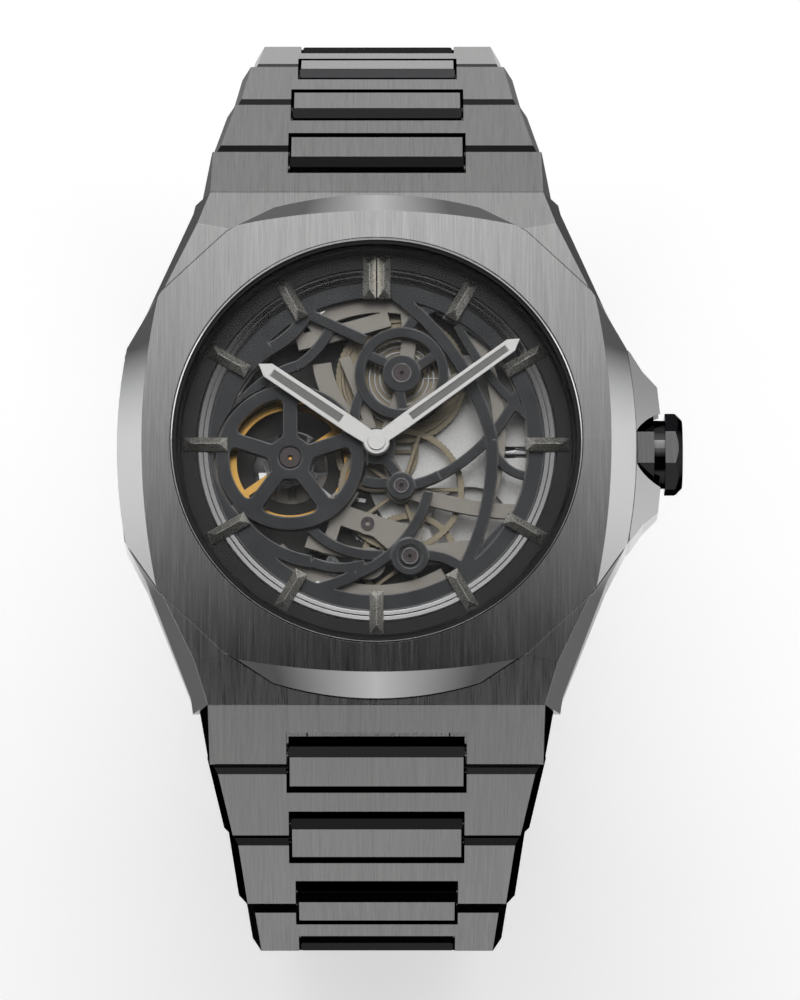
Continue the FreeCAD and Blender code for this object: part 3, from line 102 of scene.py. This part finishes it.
# Trim that is added to the frame
INLAY_START = 3.4 * MM                # from the hub to the start of a hand's inlay
INLAY_STOP = 1.35 * MM                # from the end of the inlay to the hand's tip
INLAY_DEPTH = 0.05 * MM               # top of the inlay below the top of the hand
INLAY_THICKNESS = 0.03 * MM
INLAY_HALF_WIDTH = {"hour_hand": 0.31 * MM, "minute_hand": 0.275 * MM}
CHAPTER_RADIUS = 13.45 * MM           # inner edge of the bright ring at the foot of the markers
CHAPTER_TOOTH = 0.4 * MM
CHAPTER_RISE = 0.10 * MM
LIP_WIDTH = 0.16 * MM                 # polished lip round the crystal
SETTING_WIDTH = 0.15 * MM             # polished rings round the jewels
SETTING_LAP = 0.05 * MM               # how far a ring reaches into its opening, and its bevel
OPENING_RADIUS = {"barrel_turn": 0.72 * MM, "third_wheel_turn": 0.54 * MM, "fourth_wheel_turn": 0.6 * MM}

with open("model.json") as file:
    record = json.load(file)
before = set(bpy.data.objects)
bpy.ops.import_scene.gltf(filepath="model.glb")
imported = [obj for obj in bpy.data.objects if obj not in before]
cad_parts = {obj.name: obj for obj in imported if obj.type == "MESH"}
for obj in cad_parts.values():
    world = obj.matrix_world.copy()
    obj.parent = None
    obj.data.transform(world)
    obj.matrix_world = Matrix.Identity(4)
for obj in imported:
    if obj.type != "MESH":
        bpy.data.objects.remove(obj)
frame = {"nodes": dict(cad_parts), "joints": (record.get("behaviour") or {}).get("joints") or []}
NODES = frame["nodes"]
cad_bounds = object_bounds()


# ---------------------------------------------------------------- node helpers


class Nodes:
    """Short ways to add and join the nodes of a material or of the world."""

    def __init__(self, owner):
        owner.use_nodes = True
        self.tree = owner.node_tree

    def add(self, kind, **settings):
        node = self.tree.nodes.new("ShaderNode" + kind)
        for key, value in settings.items():
            setattr(node, key, value)
        return node

    def join(self, source, target):
        self.tree.links.new(source, target)

    def value(self, operation, *inputs):
        """Math node; each input is a number or a socket."""
        node = self.add("Math", operation=operation)
        for socket, given in zip(node.inputs, inputs):
            if isinstance(given, (int, float)):
                socket.default_value = given
            else:
                self.join(given, socket)
        return node.outputs[0]

    def split(self, vector):
        """The X, Y and Z sockets of a vector."""
        node = self.add("SeparateXYZ")
        self.join(vector, node.inputs[0])
        return node.outputs["X"], node.outputs["Y"], node.outputs["Z"]

    def span(self, source, start, end, low, high):
        """A number that runs from low to high as the source runs from start to end."""
        node = self.add("MapRange")
        for name, number in (("From Min", start), ("From Max", end), ("To Min", low), ("To Max", high)):
            node.inputs[name].default_value = number
        self.join(source, node.inputs["Value"])
        return node.outputs["Result"]


class Graph(Nodes):
    """A new material with a Principled shader."""

    def __init__(self, name):
        self.material = bpy.data.materials.new(name)
        super().__init__(self.material)
        self.shader = self.tree.nodes["Principled BSDF"]
        self.output = self.tree.nodes["Material Output"]

    def noise(self, vector, scale, detail=2.0, roughness=0.5):
        node = self.add("TexNoise")
        node.inputs["Scale"].default_value = scale
        node.inputs["Detail"].default_value = detail
        node.inputs["Roughness"].default_value = roughness
        self.join(vector, node.inputs["Vector"])
        return node.outputs["Fac"]

    def place(self):
        return self.add("TexCoord").outputs["Object"]

    def stretched(self, scale):
        """Object coordinates scaled by a different number along each axis."""
        node = self.add("Mapping")
        node.inputs["Scale"].default_value = scale
        self.join(self.place(), node.inputs["Vector"])
        return node.outputs["Vector"]

    def between(self, factor, low, high):
        """A number that runs from low to high as a noise runs over most of its values."""
        return self.span(factor, 0.3, 0.7, low, high)

    def shades(self, factor, dark, light):
        """A colour that runs from dark to light as a noise runs over most of its values."""
        node = self.add("ValToRGB")
        ramp = node.color_ramp
        ramp.elements[0].position = 0.3
        ramp.elements[1].position = 0.7
        ramp.elements[0].color = (*dark, 1)
        ramp.elements[1].color = (*light, 1)
        self.join(factor, node.inputs["Fac"])
        return node.outputs["Color"]

    def bump(self, height, distance, strength=1.0, normal=None):
        node = self.add("Bump")
        node.inputs["Distance"].default_value = distance
        node.inputs["Strength"].default_value = strength
        self.join(height, node.inputs["Height"])
        if normal is not None:
            self.join(normal, node.inputs["Normal"])
        self.join(node.outputs["Normal"], self.shader.inputs["Normal"])

    def rounded(self, radius=ROUNDING):
        """Normals that round the sharp edges."""
        node = self.add("Bevel", samples=4)
        node.inputs["Radius"].default_value = radius
        return node.outputs["Normal"]

    def dot(self, first, second):
        node = self.add("VectorMath", operation="DOT_PRODUCT")
        self.join(first, node.inputs[0])
        if isinstance(second, (tuple, Vector)):
            node.inputs[1].default_value = second
        else:
            self.join(second, node.inputs[1])
        return node.outputs["Value"]

    def edges(self, radius):
        """1 along sharp edges and 0 on flat faces."""
        same = self.dot(self.rounded(radius), self.add("NewGeometry").outputs["Normal"])
        return self.value("MINIMUM", self.value("MULTIPLY", self.value("SUBTRACT", 1.0, same), 12.0), 1.0)

    def blend(self, factor, first, second):
        """Colour that turns from first to second as factor runs from 0 to 1.

        Each of the two is a colour or a socket.
        """
        node = self.add("Mix", data_type="RGBA")
        self.join(factor, node.inputs["Factor"])
        for socket, given in ((node.inputs["A"], first), (node.inputs["B"], second)):
            if isinstance(given, tuple):
                socket.default_value = (*given, 1)
            else:
                self.join(given, socket)
        return node.outputs["Result"]


def scaled(colour, factor):
    return tuple(min(1.0, c * factor) for c in colour)


def metal(graph, metallic=1.0):
    graph.shader.inputs["Metallic"].default_value = metallic


# ---------------------------------------------------------------- materials


def facing(direction, cosine):
    """Mask of the faces that look along a direction."""
    def mask(g):
        return g.value("GREATER_THAN", g.dot(g.add("TexCoord").outputs["Normal"], direction), cosine)
    return mask


def not_sideways(limit):
    """Mask of the faces that don't look towards 3 or 9 o'clock."""
    def mask(g):
        sideways = g.dot(g.add("TexCoord").outputs["Normal"], (1, 0, 0))
        return g.value("LESS_THAN", g.value("ABSOLUTE", sideways), limit)
    return mask


def painted_corner_reflection(g):
    """Colour of the bezel's facets, a painted reflection: bright in the middle of each side, painted dark
    towards the corners.

    The tint stands in for dark things that the polished corners probably mirror in the photograph. It grows
    quickly where a facet leans towards 12 o'clock and slowly where it leans towards 6.
    """
    x, y, _ = g.split(g.place())
    _, towards_12, _ = g.split(g.add("TexCoord").outputs["Normal"])
    reach = g.value("ABSOLUTE", g.value("MULTIPLY", x, y))
    upper = g.value("MULTIPLY", towards_12, 8.0)
    lower = g.value("MULTIPLY", towards_12, -1.0)
    weight = g.value("MINIMUM", g.value("MAXIMUM", upper, lower), 1.0)
    corner = g.value("DIVIDE", g.value("MULTIPLY", reach, weight), CORNER_REACH ** 2)
    ends = g.value("MULTIPLY", g.value("ABSOLUTE", towards_12), END_SHADE)
    depth = g.value("ADD", corner, ends)
    return g.blend(g.value("MINIMUM", depth, 1.0), BRIGHT_FACET, PAINTED_DARK_REFLECTION)


def along_case(g):
    """How far up or down the case a point is: 0 beside the crown and 1 on the shoulders."""
    _, y, _ = g.split(g.place())
    reach = g.value("SUBTRACT", g.value("ABSOLUTE", y), SHOULDER_START)
    share = g.value("DIVIDE", reach, SHOULDER_END - SHOULDER_START)
    return g.value("MINIMUM", g.value("MAXIMUM", share, 0.0), 1.0)


def painted_side_reflection(g):
    """Colour of the case's side facets, a painted reflection: darker beside the crown, lighter on the
    shoulders.
    """
    return g.blend(along_case(g), GUARD_FACET, SHOULDER_FACET)


def painted_side_glance(g):
    """Painted dark reflection: tint of the same facets at glancing angles, near black on the shoulders."""
    return g.blend(along_case(g), (1.0, 1.0, 1.0), SHOULDER_GLANCE)


def brushed(name, colour, roughness=0.30, contrast=0.18, mask=None, facet=POLISHED, facet_roughness=0.12,
            glance=None):
    """Metal brushed lengthwise in long fine streaks. Faces outside the mask are polished facets.

    The facet's colour and its tint at glancing angles are each a colour or a function that makes one.
    """
    g = Graph(name)
    metal(g)
    fine = g.noise(g.stretched(BRUSH_STROKES), 1.0, 3.0, 0.65)
    wide = g.noise(g.stretched(BRUSH_BANDS), 1.0, 2.0)
    streak = g.value("ADD", g.value("MULTIPLY", fine, 0.8), g.value("MULTIPLY", wide, 0.2))
    shade = g.shades(streak, scaled(colour, 1 - contrast), scaled(colour, 1 + contrast))
    rough = g.between(streak, roughness - 0.06, roughness + 0.06)
    height = fine
    if mask is not None:
        inside = mask(g)
        outside = g.value("SUBTRACT", 1.0, inside)
        rough = g.value("ADD", g.value("MULTIPLY", rough, inside),
                        g.value("MULTIPLY", outside, facet_roughness))
        height = g.value("MULTIPLY", fine, inside)
        shade = g.blend(inside, facet(g) if callable(facet) else facet, shade)
        if glance is not None:
            tint = glance(g) if callable(glance) else glance
            g.join(g.blend(inside, tint, (1.0, 1.0, 1.0)), g.shader.inputs["Specular Tint"])
    g.join(shade, g.shader.inputs["Base Color"])
    g.join(rough, g.shader.inputs["Roughness"])
    g.shader.inputs["Anisotropic"].default_value = 0.6
    g.join(across_grooves(g), g.shader.inputs["Tangent"])
    g.bump(height, 0.012 * MM, 0.6, g.rounded())
    return g.material


def brushed_with_painted_dark_sides(name, mask):
    """Brushed bracelet steel whose faces outside the mask are painted near black, a painted dark reflection.
    """
    return brushed(name, LINK_STEEL, mask=mask, facet=PAINTED_DARK_FACET, glance=PAINTED_DARK_GLANCE)


def across_grooves(g):
    """Direction along which the highlight of lengthwise brushing spreads: as near to X as the face allows."""
    normal = g.add("NewGeometry").outputs["Normal"]
    along = g.add("VectorMath", operation="CROSS_PRODUCT")
    along.inputs[0].default_value = (1, 0, 0.02)
    g.join(normal, along.inputs[1])
    across = g.add("VectorMath", operation="CROSS_PRODUCT")
    g.join(normal, across.inputs[0])
    g.join(along.outputs[0], across.inputs[1])
    return across.outputs[0]


def polished(name, colour, roughness=0.13):
    """Bright metal with faint wiping marks."""
    g = Graph(name)
    metal(g)
    marks = g.noise(g.stretched((700, 240, 700)), 1.0, 4.0, 0.65)
    g.join(g.shades(marks, scaled(colour, 0.93), scaled(colour, 1.05)), g.shader.inputs["Base Color"])
    g.join(g.between(marks, roughness - 0.03, roughness + 0.05), g.shader.inputs["Roughness"])
    g.bump(marks, 0.004 * MM, 0.3, g.rounded())
    return g.material


def blasted(name, colour, roughness=0.42, grain=14000.0, contrast=0.12, depth=0.014 * MM):
    """Metal with a fine sandblasted grain."""
    g = Graph(name)
    metal(g)
    fine = g.noise(g.place(), grain, 2.0, 0.7)
    cloud = g.noise(g.place(), 420.0, 3.0)
    both = g.value("ADD", g.value("MULTIPLY", fine, 0.65), g.value("MULTIPLY", cloud, 0.35))
    g.join(g.shades(both, scaled(colour, 1 - contrast), scaled(colour, 1 + contrast)),
           g.shader.inputs["Base Color"])
    g.join(g.between(fine, roughness - 0.08, roughness + 0.08), g.shader.inputs["Roughness"])
    g.bump(fine, depth, 0.8, g.rounded())
    return g.material


def coated(name, colour, roughness=0.36, metallic=0.75, highlight_colour=None, edge=0.11 * MM):
    """Dark plated metal, satin. Given a colour for the edges, it gets a painted highlight along them, patchy
    with a noise.
    """
    g = Graph(name)
    metal(g, metallic)
    fine = g.noise(g.place(), 9000.0, 2.0, 0.6)
    cloud = g.noise(g.place(), 300.0, 3.0)
    shade = g.shades(cloud, scaled(colour, 0.85), scaled(colour, 1.2))
    if highlight_colour is not None:
        # painted highlight along the edges
        painted_highlight = g.value("MULTIPLY", g.edges(edge), g.between(cloud, 0.5, 1.0))
        shade = g.blend(painted_highlight, shade, highlight_colour)
    g.join(shade, g.shader.inputs["Base Color"])
    g.join(g.between(fine, roughness - 0.06, roughness + 0.06), g.shader.inputs["Roughness"])
    g.bump(fine, 0.006 * MM, 0.5, g.rounded(edge))
    return g.material


def half_silvered(name):
    """Sandblasted plate: silver round a point on the crown's side, dark grey beyond."""
    g = Graph(name)
    metal(g)
    away = g.add("VectorMath", operation="DISTANCE")
    away.inputs[1].default_value = SILVER_MIDDLE
    g.join(g.place(), away.inputs[0])
    far = g.value("GREATER_THAN", away.outputs["Value"], SILVER_REACH)
    fine = g.noise(g.place(), 9000.0, 2.0, 0.7)
    silver = g.shades(fine, scaled(SILVER, 0.85), scaled(SILVER, 1.12))
    g.join(g.blend(far, silver, PLATE_DARK_GREY), g.shader.inputs["Base Color"])
    g.join(g.between(fine, 0.32, 0.48), g.shader.inputs["Roughness"])
    g.bump(fine, 0.02 * MM, 0.8, g.rounded())
    return g.material


def radial_metal(name, colour, roughness=0.3):
    """Metal brushed along rays from the middle of the watch."""
    g = Graph(name)
    metal(g)
    x, y, z = g.split(g.place())
    angle = g.value("ARCTAN2", y, x)
    spread = g.add("CombineXYZ")
    g.join(g.value("MULTIPLY", angle, 60.0), spread.inputs["X"])
    g.join(g.value("MULTIPLY", z, 300.0), spread.inputs["Y"])
    rays = g.noise(spread.outputs[0], 4.0, 4.0, 0.6)
    g.join(g.shades(rays, scaled(colour, 0.8), scaled(colour, 1.2)), g.shader.inputs["Base Color"])
    g.join(g.between(rays, roughness - 0.07, roughness + 0.07), g.shader.inputs["Roughness"])
    g.bump(rays, 0.01 * MM, 0.4, g.rounded(0.08 * MM))
    return g.material


def striped_metal(name, colour):
    """Metal with broad straight stripes and a satin grain."""
    g = Graph(name)
    metal(g)
    x, _, _ = g.split(g.place())
    phase = g.value("MULTIPLY", x, 2 * math.pi / STRIPE)
    wave = g.value("MULTIPLY_ADD", g.value("SINE", phase), 0.5, 0.5)
    fine = g.noise(g.place(), 11000.0, 2.0, 0.6)
    height = g.value("ADD", g.value("MULTIPLY", wave, 0.8), g.value("MULTIPLY", fine, 0.2))
    g.join(g.shades(height, scaled(colour, 0.8), scaled(colour, 1.15)), g.shader.inputs["Base Color"])
    g.join(g.between(height, 0.24, 0.36), g.shader.inputs["Roughness"])
    g.bump(height, 0.03 * MM, 0.5, g.rounded())
    return g.material


def clear_crystal(name, index=1.2):
    """Coated sapphire: nearly all see-through, with a faint reflection at low angles."""
    g = Graph(name)
    clear = g.add("BsdfTransparent")
    gloss = g.add("BsdfGlossy")
    smudge = g.noise(g.place(), 90.0, 3.0)
    g.join(g.between(smudge, 0.01, 0.04), gloss.inputs["Roughness"])
    share = g.add("Fresnel")
    share.inputs["IOR"].default_value = index
    mix = g.add("MixShader")
    g.join(share.outputs[0], mix.inputs[0])
    g.join(clear.outputs[0], mix.inputs[1])
    g.join(gloss.outputs[0], mix.inputs[2])
    g.join(mix.outputs[0], g.output.inputs["Surface"])
    return g.material


def ruby(name):
    """Dark red polished stone."""
    g = Graph(name)
    cloud = g.noise(g.place(), 2500.0, 2.0)
    g.join(g.shades(cloud, scaled(RUBY, 0.6), scaled(RUBY, 1.3)), g.shader.inputs["Base Color"])
    g.join(g.between(cloud, 0.05, 0.12), g.shader.inputs["Roughness"])
    g.shader.inputs["Coat Weight"].default_value = 1.0
    return g.material


def rubber(name):
    """Black gasket rubber, matt."""
    g = Graph(name)
    grain = g.noise(g.place(), 6000.0, 2.0)
    g.join(g.shades(grain, scaled(RUBBER, 0.8), scaled(RUBBER, 1.4)), g.shader.inputs["Base Color"])
    g.join(g.between(grain, 0.55, 0.75), g.shader.inputs["Roughness"])
    g.bump(grain, 0.01 * MM, 0.5)
    return g.material


def lume(name):
    """Grey luminous paint: matt, finely grained."""
    g = Graph(name)
    grain = g.noise(g.place(), 16000.0, 2.0, 0.7)
    g.join(g.shades(grain, scaled(LUME_GREY, 0.8), scaled(LUME_GREY, 1.25)),
           g.shader.inputs["Base Color"])
    g.join(g.between(grain, 0.5, 0.7), g.shader.inputs["Roughness"])
    g.bump(grain, 0.01 * MM, 0.6)
    return g.material


def floor_paint(name):
    """White table top that is faintly lit from within."""
    g = Graph(name)
    grain = g.noise(g.place(), 40.0, 3.0)
    g.join(g.shades(grain, (0.86, 0.86, 0.86), (0.88, 0.88, 0.88)), g.shader.inputs["Base Color"])
    g.join(g.between(grain, 0.75, 0.85), g.shader.inputs["Roughness"])
    g.shader.inputs["Emission Color"].default_value = (1, 1, 1, 1)
    g.shader.inputs["Emission Strength"].default_value = TABLE_GLOW
    return g.material


def give(material, *names):
    """Puts a material on whole CAD nodes."""
    for name in names:
        mesh = NODES[name].data
        mesh.materials.clear()
        mesh.materials.append(material)


def outer_face(name, middle):
    """Direction of a node's largest flat face that looks away from the middle of the bracelet's loop."""
    areas = {}
    for polygon in NODES[name].data.polygons:
        if polygon.normal.dot(polygon.center - middle) > 0:
            key = tuple(round(part, 2) for part in polygon.normal)
            areas[key] = areas.get(key, 0.0) + polygon.area
    return Vector(max(areas, key=areas.get)).normalized()


def dress_bracelet():
    """Steel for the links, the end links and the clasp, with a painted dark reflection on the side faces of
    links, end links and clasp cover.
    """
    middle = (cad_bounds[0] + cad_bounds[1]) / 2
    for name in NODES:
        if name.startswith("link_"):
            mask = facing(outer_face(name, middle), 0.97)
            give(brushed_with_painted_dark_sides("brushed_" + name, mask), name)
    for name in ("end_link_12", "end_link_6"):
        give(brushed_with_painted_dark_sides("brushed_" + name, not_sideways(0.3)), name)
    give(brushed_with_painted_dark_sides("brushed_clasp", not_sideways(0.5)), "clasp_cover")
    give(brushed("blade_steel", POLISHED, 0.26, 0.08), "clasp_outer_blade", "clasp_inner_blade")
    give(polished("pusher_steel", POLISHED), "clasp_pusher_right", "clasp_pusher_left")


def dress_case():
    """Finishes for the case, the crown, the crystals, the markers and the hands."""
    # the case's side facets carry a painted reflection that changes along the case
    give(brushed("brushed_case", GUNMETAL, mask=not_sideways(0.4), facet=painted_side_reflection,
                 glance=painted_side_glance), "case_middle")
    top = facing((0, 0, 1), 0.93)
    # the bezel's side facets carry a painted reflection, dark towards the corners
    give(brushed("brushed_bezel", GUNMETAL, 0.24, mask=top, facet=painted_corner_reflection), "bezel")
    give(brushed("brushed_back", GUNMETAL, mask=facing((0, 0, -1), 0.9)), "case_back_ring")
    # the crown's side faces carry a painted dark reflection
    give(brushed_with_painted_dark_sides("crown_steel", facing((0, 0, 1), 0.97)), "crown")
    give(clear_crystal("crystal_glass"), "crystal", "case_back_glass")
    give(rubber("gasket_rubber"), "crystal_gasket", "case_back_gasket")
    give(coated("black_flange", BLACK, 0.34, 0.3), "rehaut")
    give(blasted("marker_steel", MARKER_STEEL, 0.3, 9000.0, 0.25, 0.03 * MM), "hour_markers")
    give(blasted("hand_steel", HAND_STEEL, 0.33, 12000.0, 0.06, 0.006 * MM), "hour_hand", "minute_hand")


def dress_movement():
    """Finishes for everything inside the case and for the screws of its back."""
    give(polished("polished_steel", POLISHED), "crown_tube", "rotor_bearing")
    give(polished("stem_steel", POLISHED), "winding_stem", "winding_pinion")
    lattice = coated("lattice_black", LATTICE, 0.33, 0.85, LATTICE_HIGHLIGHT, LATTICE_RIM)
    give(lattice, "skeleton_dial", "balance_bridge")
    give(blasted("plate_grey", WARM_STEEL, 0.36, 9000.0, 0.1), "bridge_plates")
    give(striped_metal("plate_striped", WARM_STEEL), "automatic_bridge")
    give(half_silvered("plate_silver"), "main_plate")
    give(blasted("ring_grey", WARM_STEEL), "movement_ring")
    give(radial_metal("wheel_brass", BRASS), "barrel", "centre_wheel", "third_wheel", "fourth_wheel")
    give(polished("balance_gold", GILT, 0.2), "balance_wheel")
    give(polished("spring_steel", POLISHED, 0.16), "hairspring", "mainspring", "pallet_fork", "escape_wheel")
    give(radial_metal("rotor_steel", LINK_STEEL), "rotor")
    give(ruby("ruby"), "jewels")
    give(polished("screw_steel", SILVER, 0.12), "movement_screws", "case_back_screws")


# ---------------------------------------------------------------- pieces


def mesh_piece(name, build, material, body):
    """New mesh object made by build(bm), which rides on a body."""
    mesh = bpy.data.meshes.new(name)
    bm = bmesh.new()
    build(bm)
    bmesh.ops.recalc_face_normals(bm, faces=bm.faces)
    bm.to_mesh(mesh)
    bm.free()
    mesh.materials.append(material)
    piece = bpy.data.objects.new(name, mesh)
    bpy.context.scene.collection.objects.link(piece)
    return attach(piece, body)


def revolved(profile, centre=Vector((0, 0, 0)), steps=160):
    """Builder of a ring whose section is a closed outline of (radius, height) points."""
    def build(bm):
        rows = []
        for step in range(steps):
            angle = 2 * math.pi * step / steps
            ray = Vector((math.cos(angle), math.sin(angle), 0))
            rows.append([bm.verts.new(centre + ray * radius + Vector((0, 0, height)))
                         for radius, height in profile])
        for step, row in enumerate(rows):
            following = rows[(step + 1) % steps]
            for i in range(len(profile)):
                j = (i + 1) % len(profile)
                bm.faces.new((row[i], following[i], following[j], row[j]))
    return build


def raised_panel(outline, low, high, bevel):
    """Builder of a flat panel with a bevelled top edge."""
    def build(bm):
        base = bm.faces.new([bm.verts.new((point.x, point.y, low)) for point in outline])
        top = bmesh.ops.extrude_face_region(bm, geom=[base])["geom"]
        raised = [part for part in top if isinstance(part, bmesh.types.BMVert)]
        bmesh.ops.translate(bm, verts=raised, vec=(0, 0, high - low))
        rim = [edge for edge in bm.edges if all(vert in raised for vert in edge.verts)]
        bmesh.ops.bevel(bm, geom=rim, offset=bevel, segments=2, affect="EDGES")
    return build


def hand_inlay(hand, paint):
    """Luminous paint in a hand's tray, along the line from the hub to the hand's tip."""
    corners = [vert.co for vert in NODES[hand].data.vertices]
    tip = max(corners, key=lambda place: (round(place.xy.length, 5), place.z))
    along = Vector((tip.x, tip.y, 0)).normalized()
    side = along.cross(Vector((0, 0, 1))) * INLAY_HALF_WIDTH[hand]
    start = along * INLAY_START
    stop = along * (tip.xy.length - INLAY_STOP)
    top = tip.z - INLAY_DEPTH
    outline = [start - side, start + side, stop + side * 0.9, stop - side * 0.9]
    build = raised_panel(outline, top - INLAY_THICKNESS, top, INLAY_THICKNESS / 2)
    mesh_piece(hand + "_inlay", build, paint, hand)


def chapter_ring(finish):
    """Bright ring at the foot of the markers, in two teeth that lean towards the middle."""
    floor_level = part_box("skeleton_dial")[1].z
    profile = [(CHAPTER_RADIUS, floor_level)]
    for tooth in range(2):
        start = CHAPTER_RADIUS + tooth * CHAPTER_TOOTH
        profile.append((start, floor_level + 0.01 * MM))
        profile.append((start + CHAPTER_TOOTH * 0.95, floor_level + CHAPTER_RISE))
    profile.append((CHAPTER_RADIUS + 2 * CHAPTER_TOOTH, floor_level))
    mesh_piece("chapter_ring", revolved(profile), finish, "case")


def crystal_lip(finish):
    """Thin polished lip between the crystal and the bezel."""
    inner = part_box("crystal_gasket")[1].x
    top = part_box("crystal")[1].z
    profile = [(inner - LIP_WIDTH / 2, top - 0.12 * MM), (inner + LIP_WIDTH / 2, top - 0.12 * MM),
               (inner + LIP_WIDTH / 2, top - 0.01 * MM), (inner + LIP_WIDTH / 3, top)]
    mesh_piece("crystal_lip", revolved(profile), finish, "case")


def jewel_settings(finish):
    """Polished rings round the three front jewels, each over the axis of the wheel that it carries."""
    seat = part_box("jewels")[1].z
    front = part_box("skeleton_dial")[1].z - 0.1 * MM
    for joint in frame["joints"]:
        if joint["name"] in OPENING_RADIUS:
            inner = OPENING_RADIUS[joint["name"]] - SETTING_LAP
            outer = inner + SETTING_WIDTH
            profile = [(inner, front), (outer, front), (outer, seat - 0.04 * MM),
                       (outer - SETTING_LAP, seat + 0.02 * MM), (inner + 0.04 * MM, seat + 0.02 * MM)]
            axis = Vector((joint["pos_m"][0], joint["pos_m"][1], 0))
            name = "setting_" + joint["child"]
            mesh_piece(name, revolved(profile, axis, 72), finish, "case")


def add_trim():
    """The pieces that only the visual model has."""
    paint = lume("lume_grey")
    hand_inlay("hour_hand", paint)
    hand_inlay("minute_hand", paint)
    chapter_ring(polished("chapter_steel", CHAPTER_STEEL, 0.10))
    trim = polished("trim_steel", POLISHED, 0.14)
    crystal_lip(trim)
    jewel_settings(trim)


# ---------------------------------------------------------------- studio


def softbox(name, place, width, height, power):
    """Rectangular lamp that looks at the middle of the watch."""
    data = bpy.data.lights.new(name, "AREA")
    data.shape = "RECTANGLE"
    data.size = width
    data.size_y = height
    data.energy = power
    light = bpy.data.objects.new(name, data)
    light.location = place
    light.rotation_euler = (-Vector(place)).to_track_quat("-Z", "Y").to_euler()
    bpy.context.scene.collection.objects.link(light)


def camera(hub):
    """The photograph's camera: nearly above the dial, a little towards 6 o'clock."""
    tilt = math.radians(VIEW_TILT)
    towards = Vector((0, -math.sin(tilt), math.cos(tilt)))
    up = Vector((0, math.cos(tilt), math.sin(tilt)))
    target = hub + Vector((AIM.x, 0, 0)) + up * AIM.y
    data = bpy.data.cameras.new("camera")
    data.sensor_fit = "HORIZONTAL"
    data.lens = data.sensor_width * VIEW_DISTANCE / VIEW_WIDTH
    data.clip_start = 0.01
    eye = bpy.data.objects.new("camera", data)
    eye.location = target + towards * VIEW_DISTANCE
    eye.rotation_euler = (-towards).to_track_quat("-Z", "Y").to_euler()
    bpy.context.scene.collection.objects.link(eye)
    bpy.context.scene.camera = eye


def floor(low, half=1.5):
    """Square table top under the watch."""
    mesh = bpy.data.meshes.new("floor")
    corners = [(-half, -half, low), (half, -half, low), (half, half, low), (-half, half, low)]
    mesh.from_pydata(corners, [], [(0, 1, 2, 3)])
    mesh.materials.append(floor_paint("floor_paint"))
    piece = bpy.data.objects.new("floor", mesh)
    bpy.context.scene.collection.objects.link(piece)


def surroundings():
    """Light walls, a ceiling that is dark towards 6 o'clock and bright towards 12, and dimmer far corners."""
    world = bpy.data.worlds.new("room")
    bpy.context.scene.world = world
    room = Nodes(world)
    side, far, high = room.split(room.add("TexCoord").outputs["Generated"])
    walls = room.span(high, 0.28, 0.46, WALL_LIGHT, 0.03)
    ceiling = room.value("MULTIPLY", room.span(far, -0.12, 0.5, 0.0, CEILING_LIGHT),
                         room.span(high, 0.35, 0.7, 0.0, 1.0))
    corner = room.value("MULTIPLY", room.value("ABSOLUTE", side), far)
    dimmer = room.span(corner, 0.08, 0.45, 1.0, 0.4)
    level = room.value("MULTIPLY", room.value("ADD", walls, ceiling), dimmer)
    background = room.tree.nodes["Background"]
    room.join(level, background.inputs["Strength"])
    background.inputs["Color"].default_value = (1, 1, 1, 1)


dress_bracelet()
dress_case()
dress_movement()
add_trim()
camera(Vector((0, 0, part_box("minute_hand")[1].z)))
floor(cad_bounds[0].z)
surroundings()
softbox("top_softbox", (0.0, 0.48, 0.36), width=0.5, height=0.3, power=0.8)
softbox("left_softbox", (-0.55, -0.05, 0.22), width=0.35, height=0.35, power=0.45)
softbox("right_softbox", (0.55, -0.05, 0.22), width=0.35, height=0.35, power=0.45)
bpy.context.scene.view_settings.view_transform = "Standard"
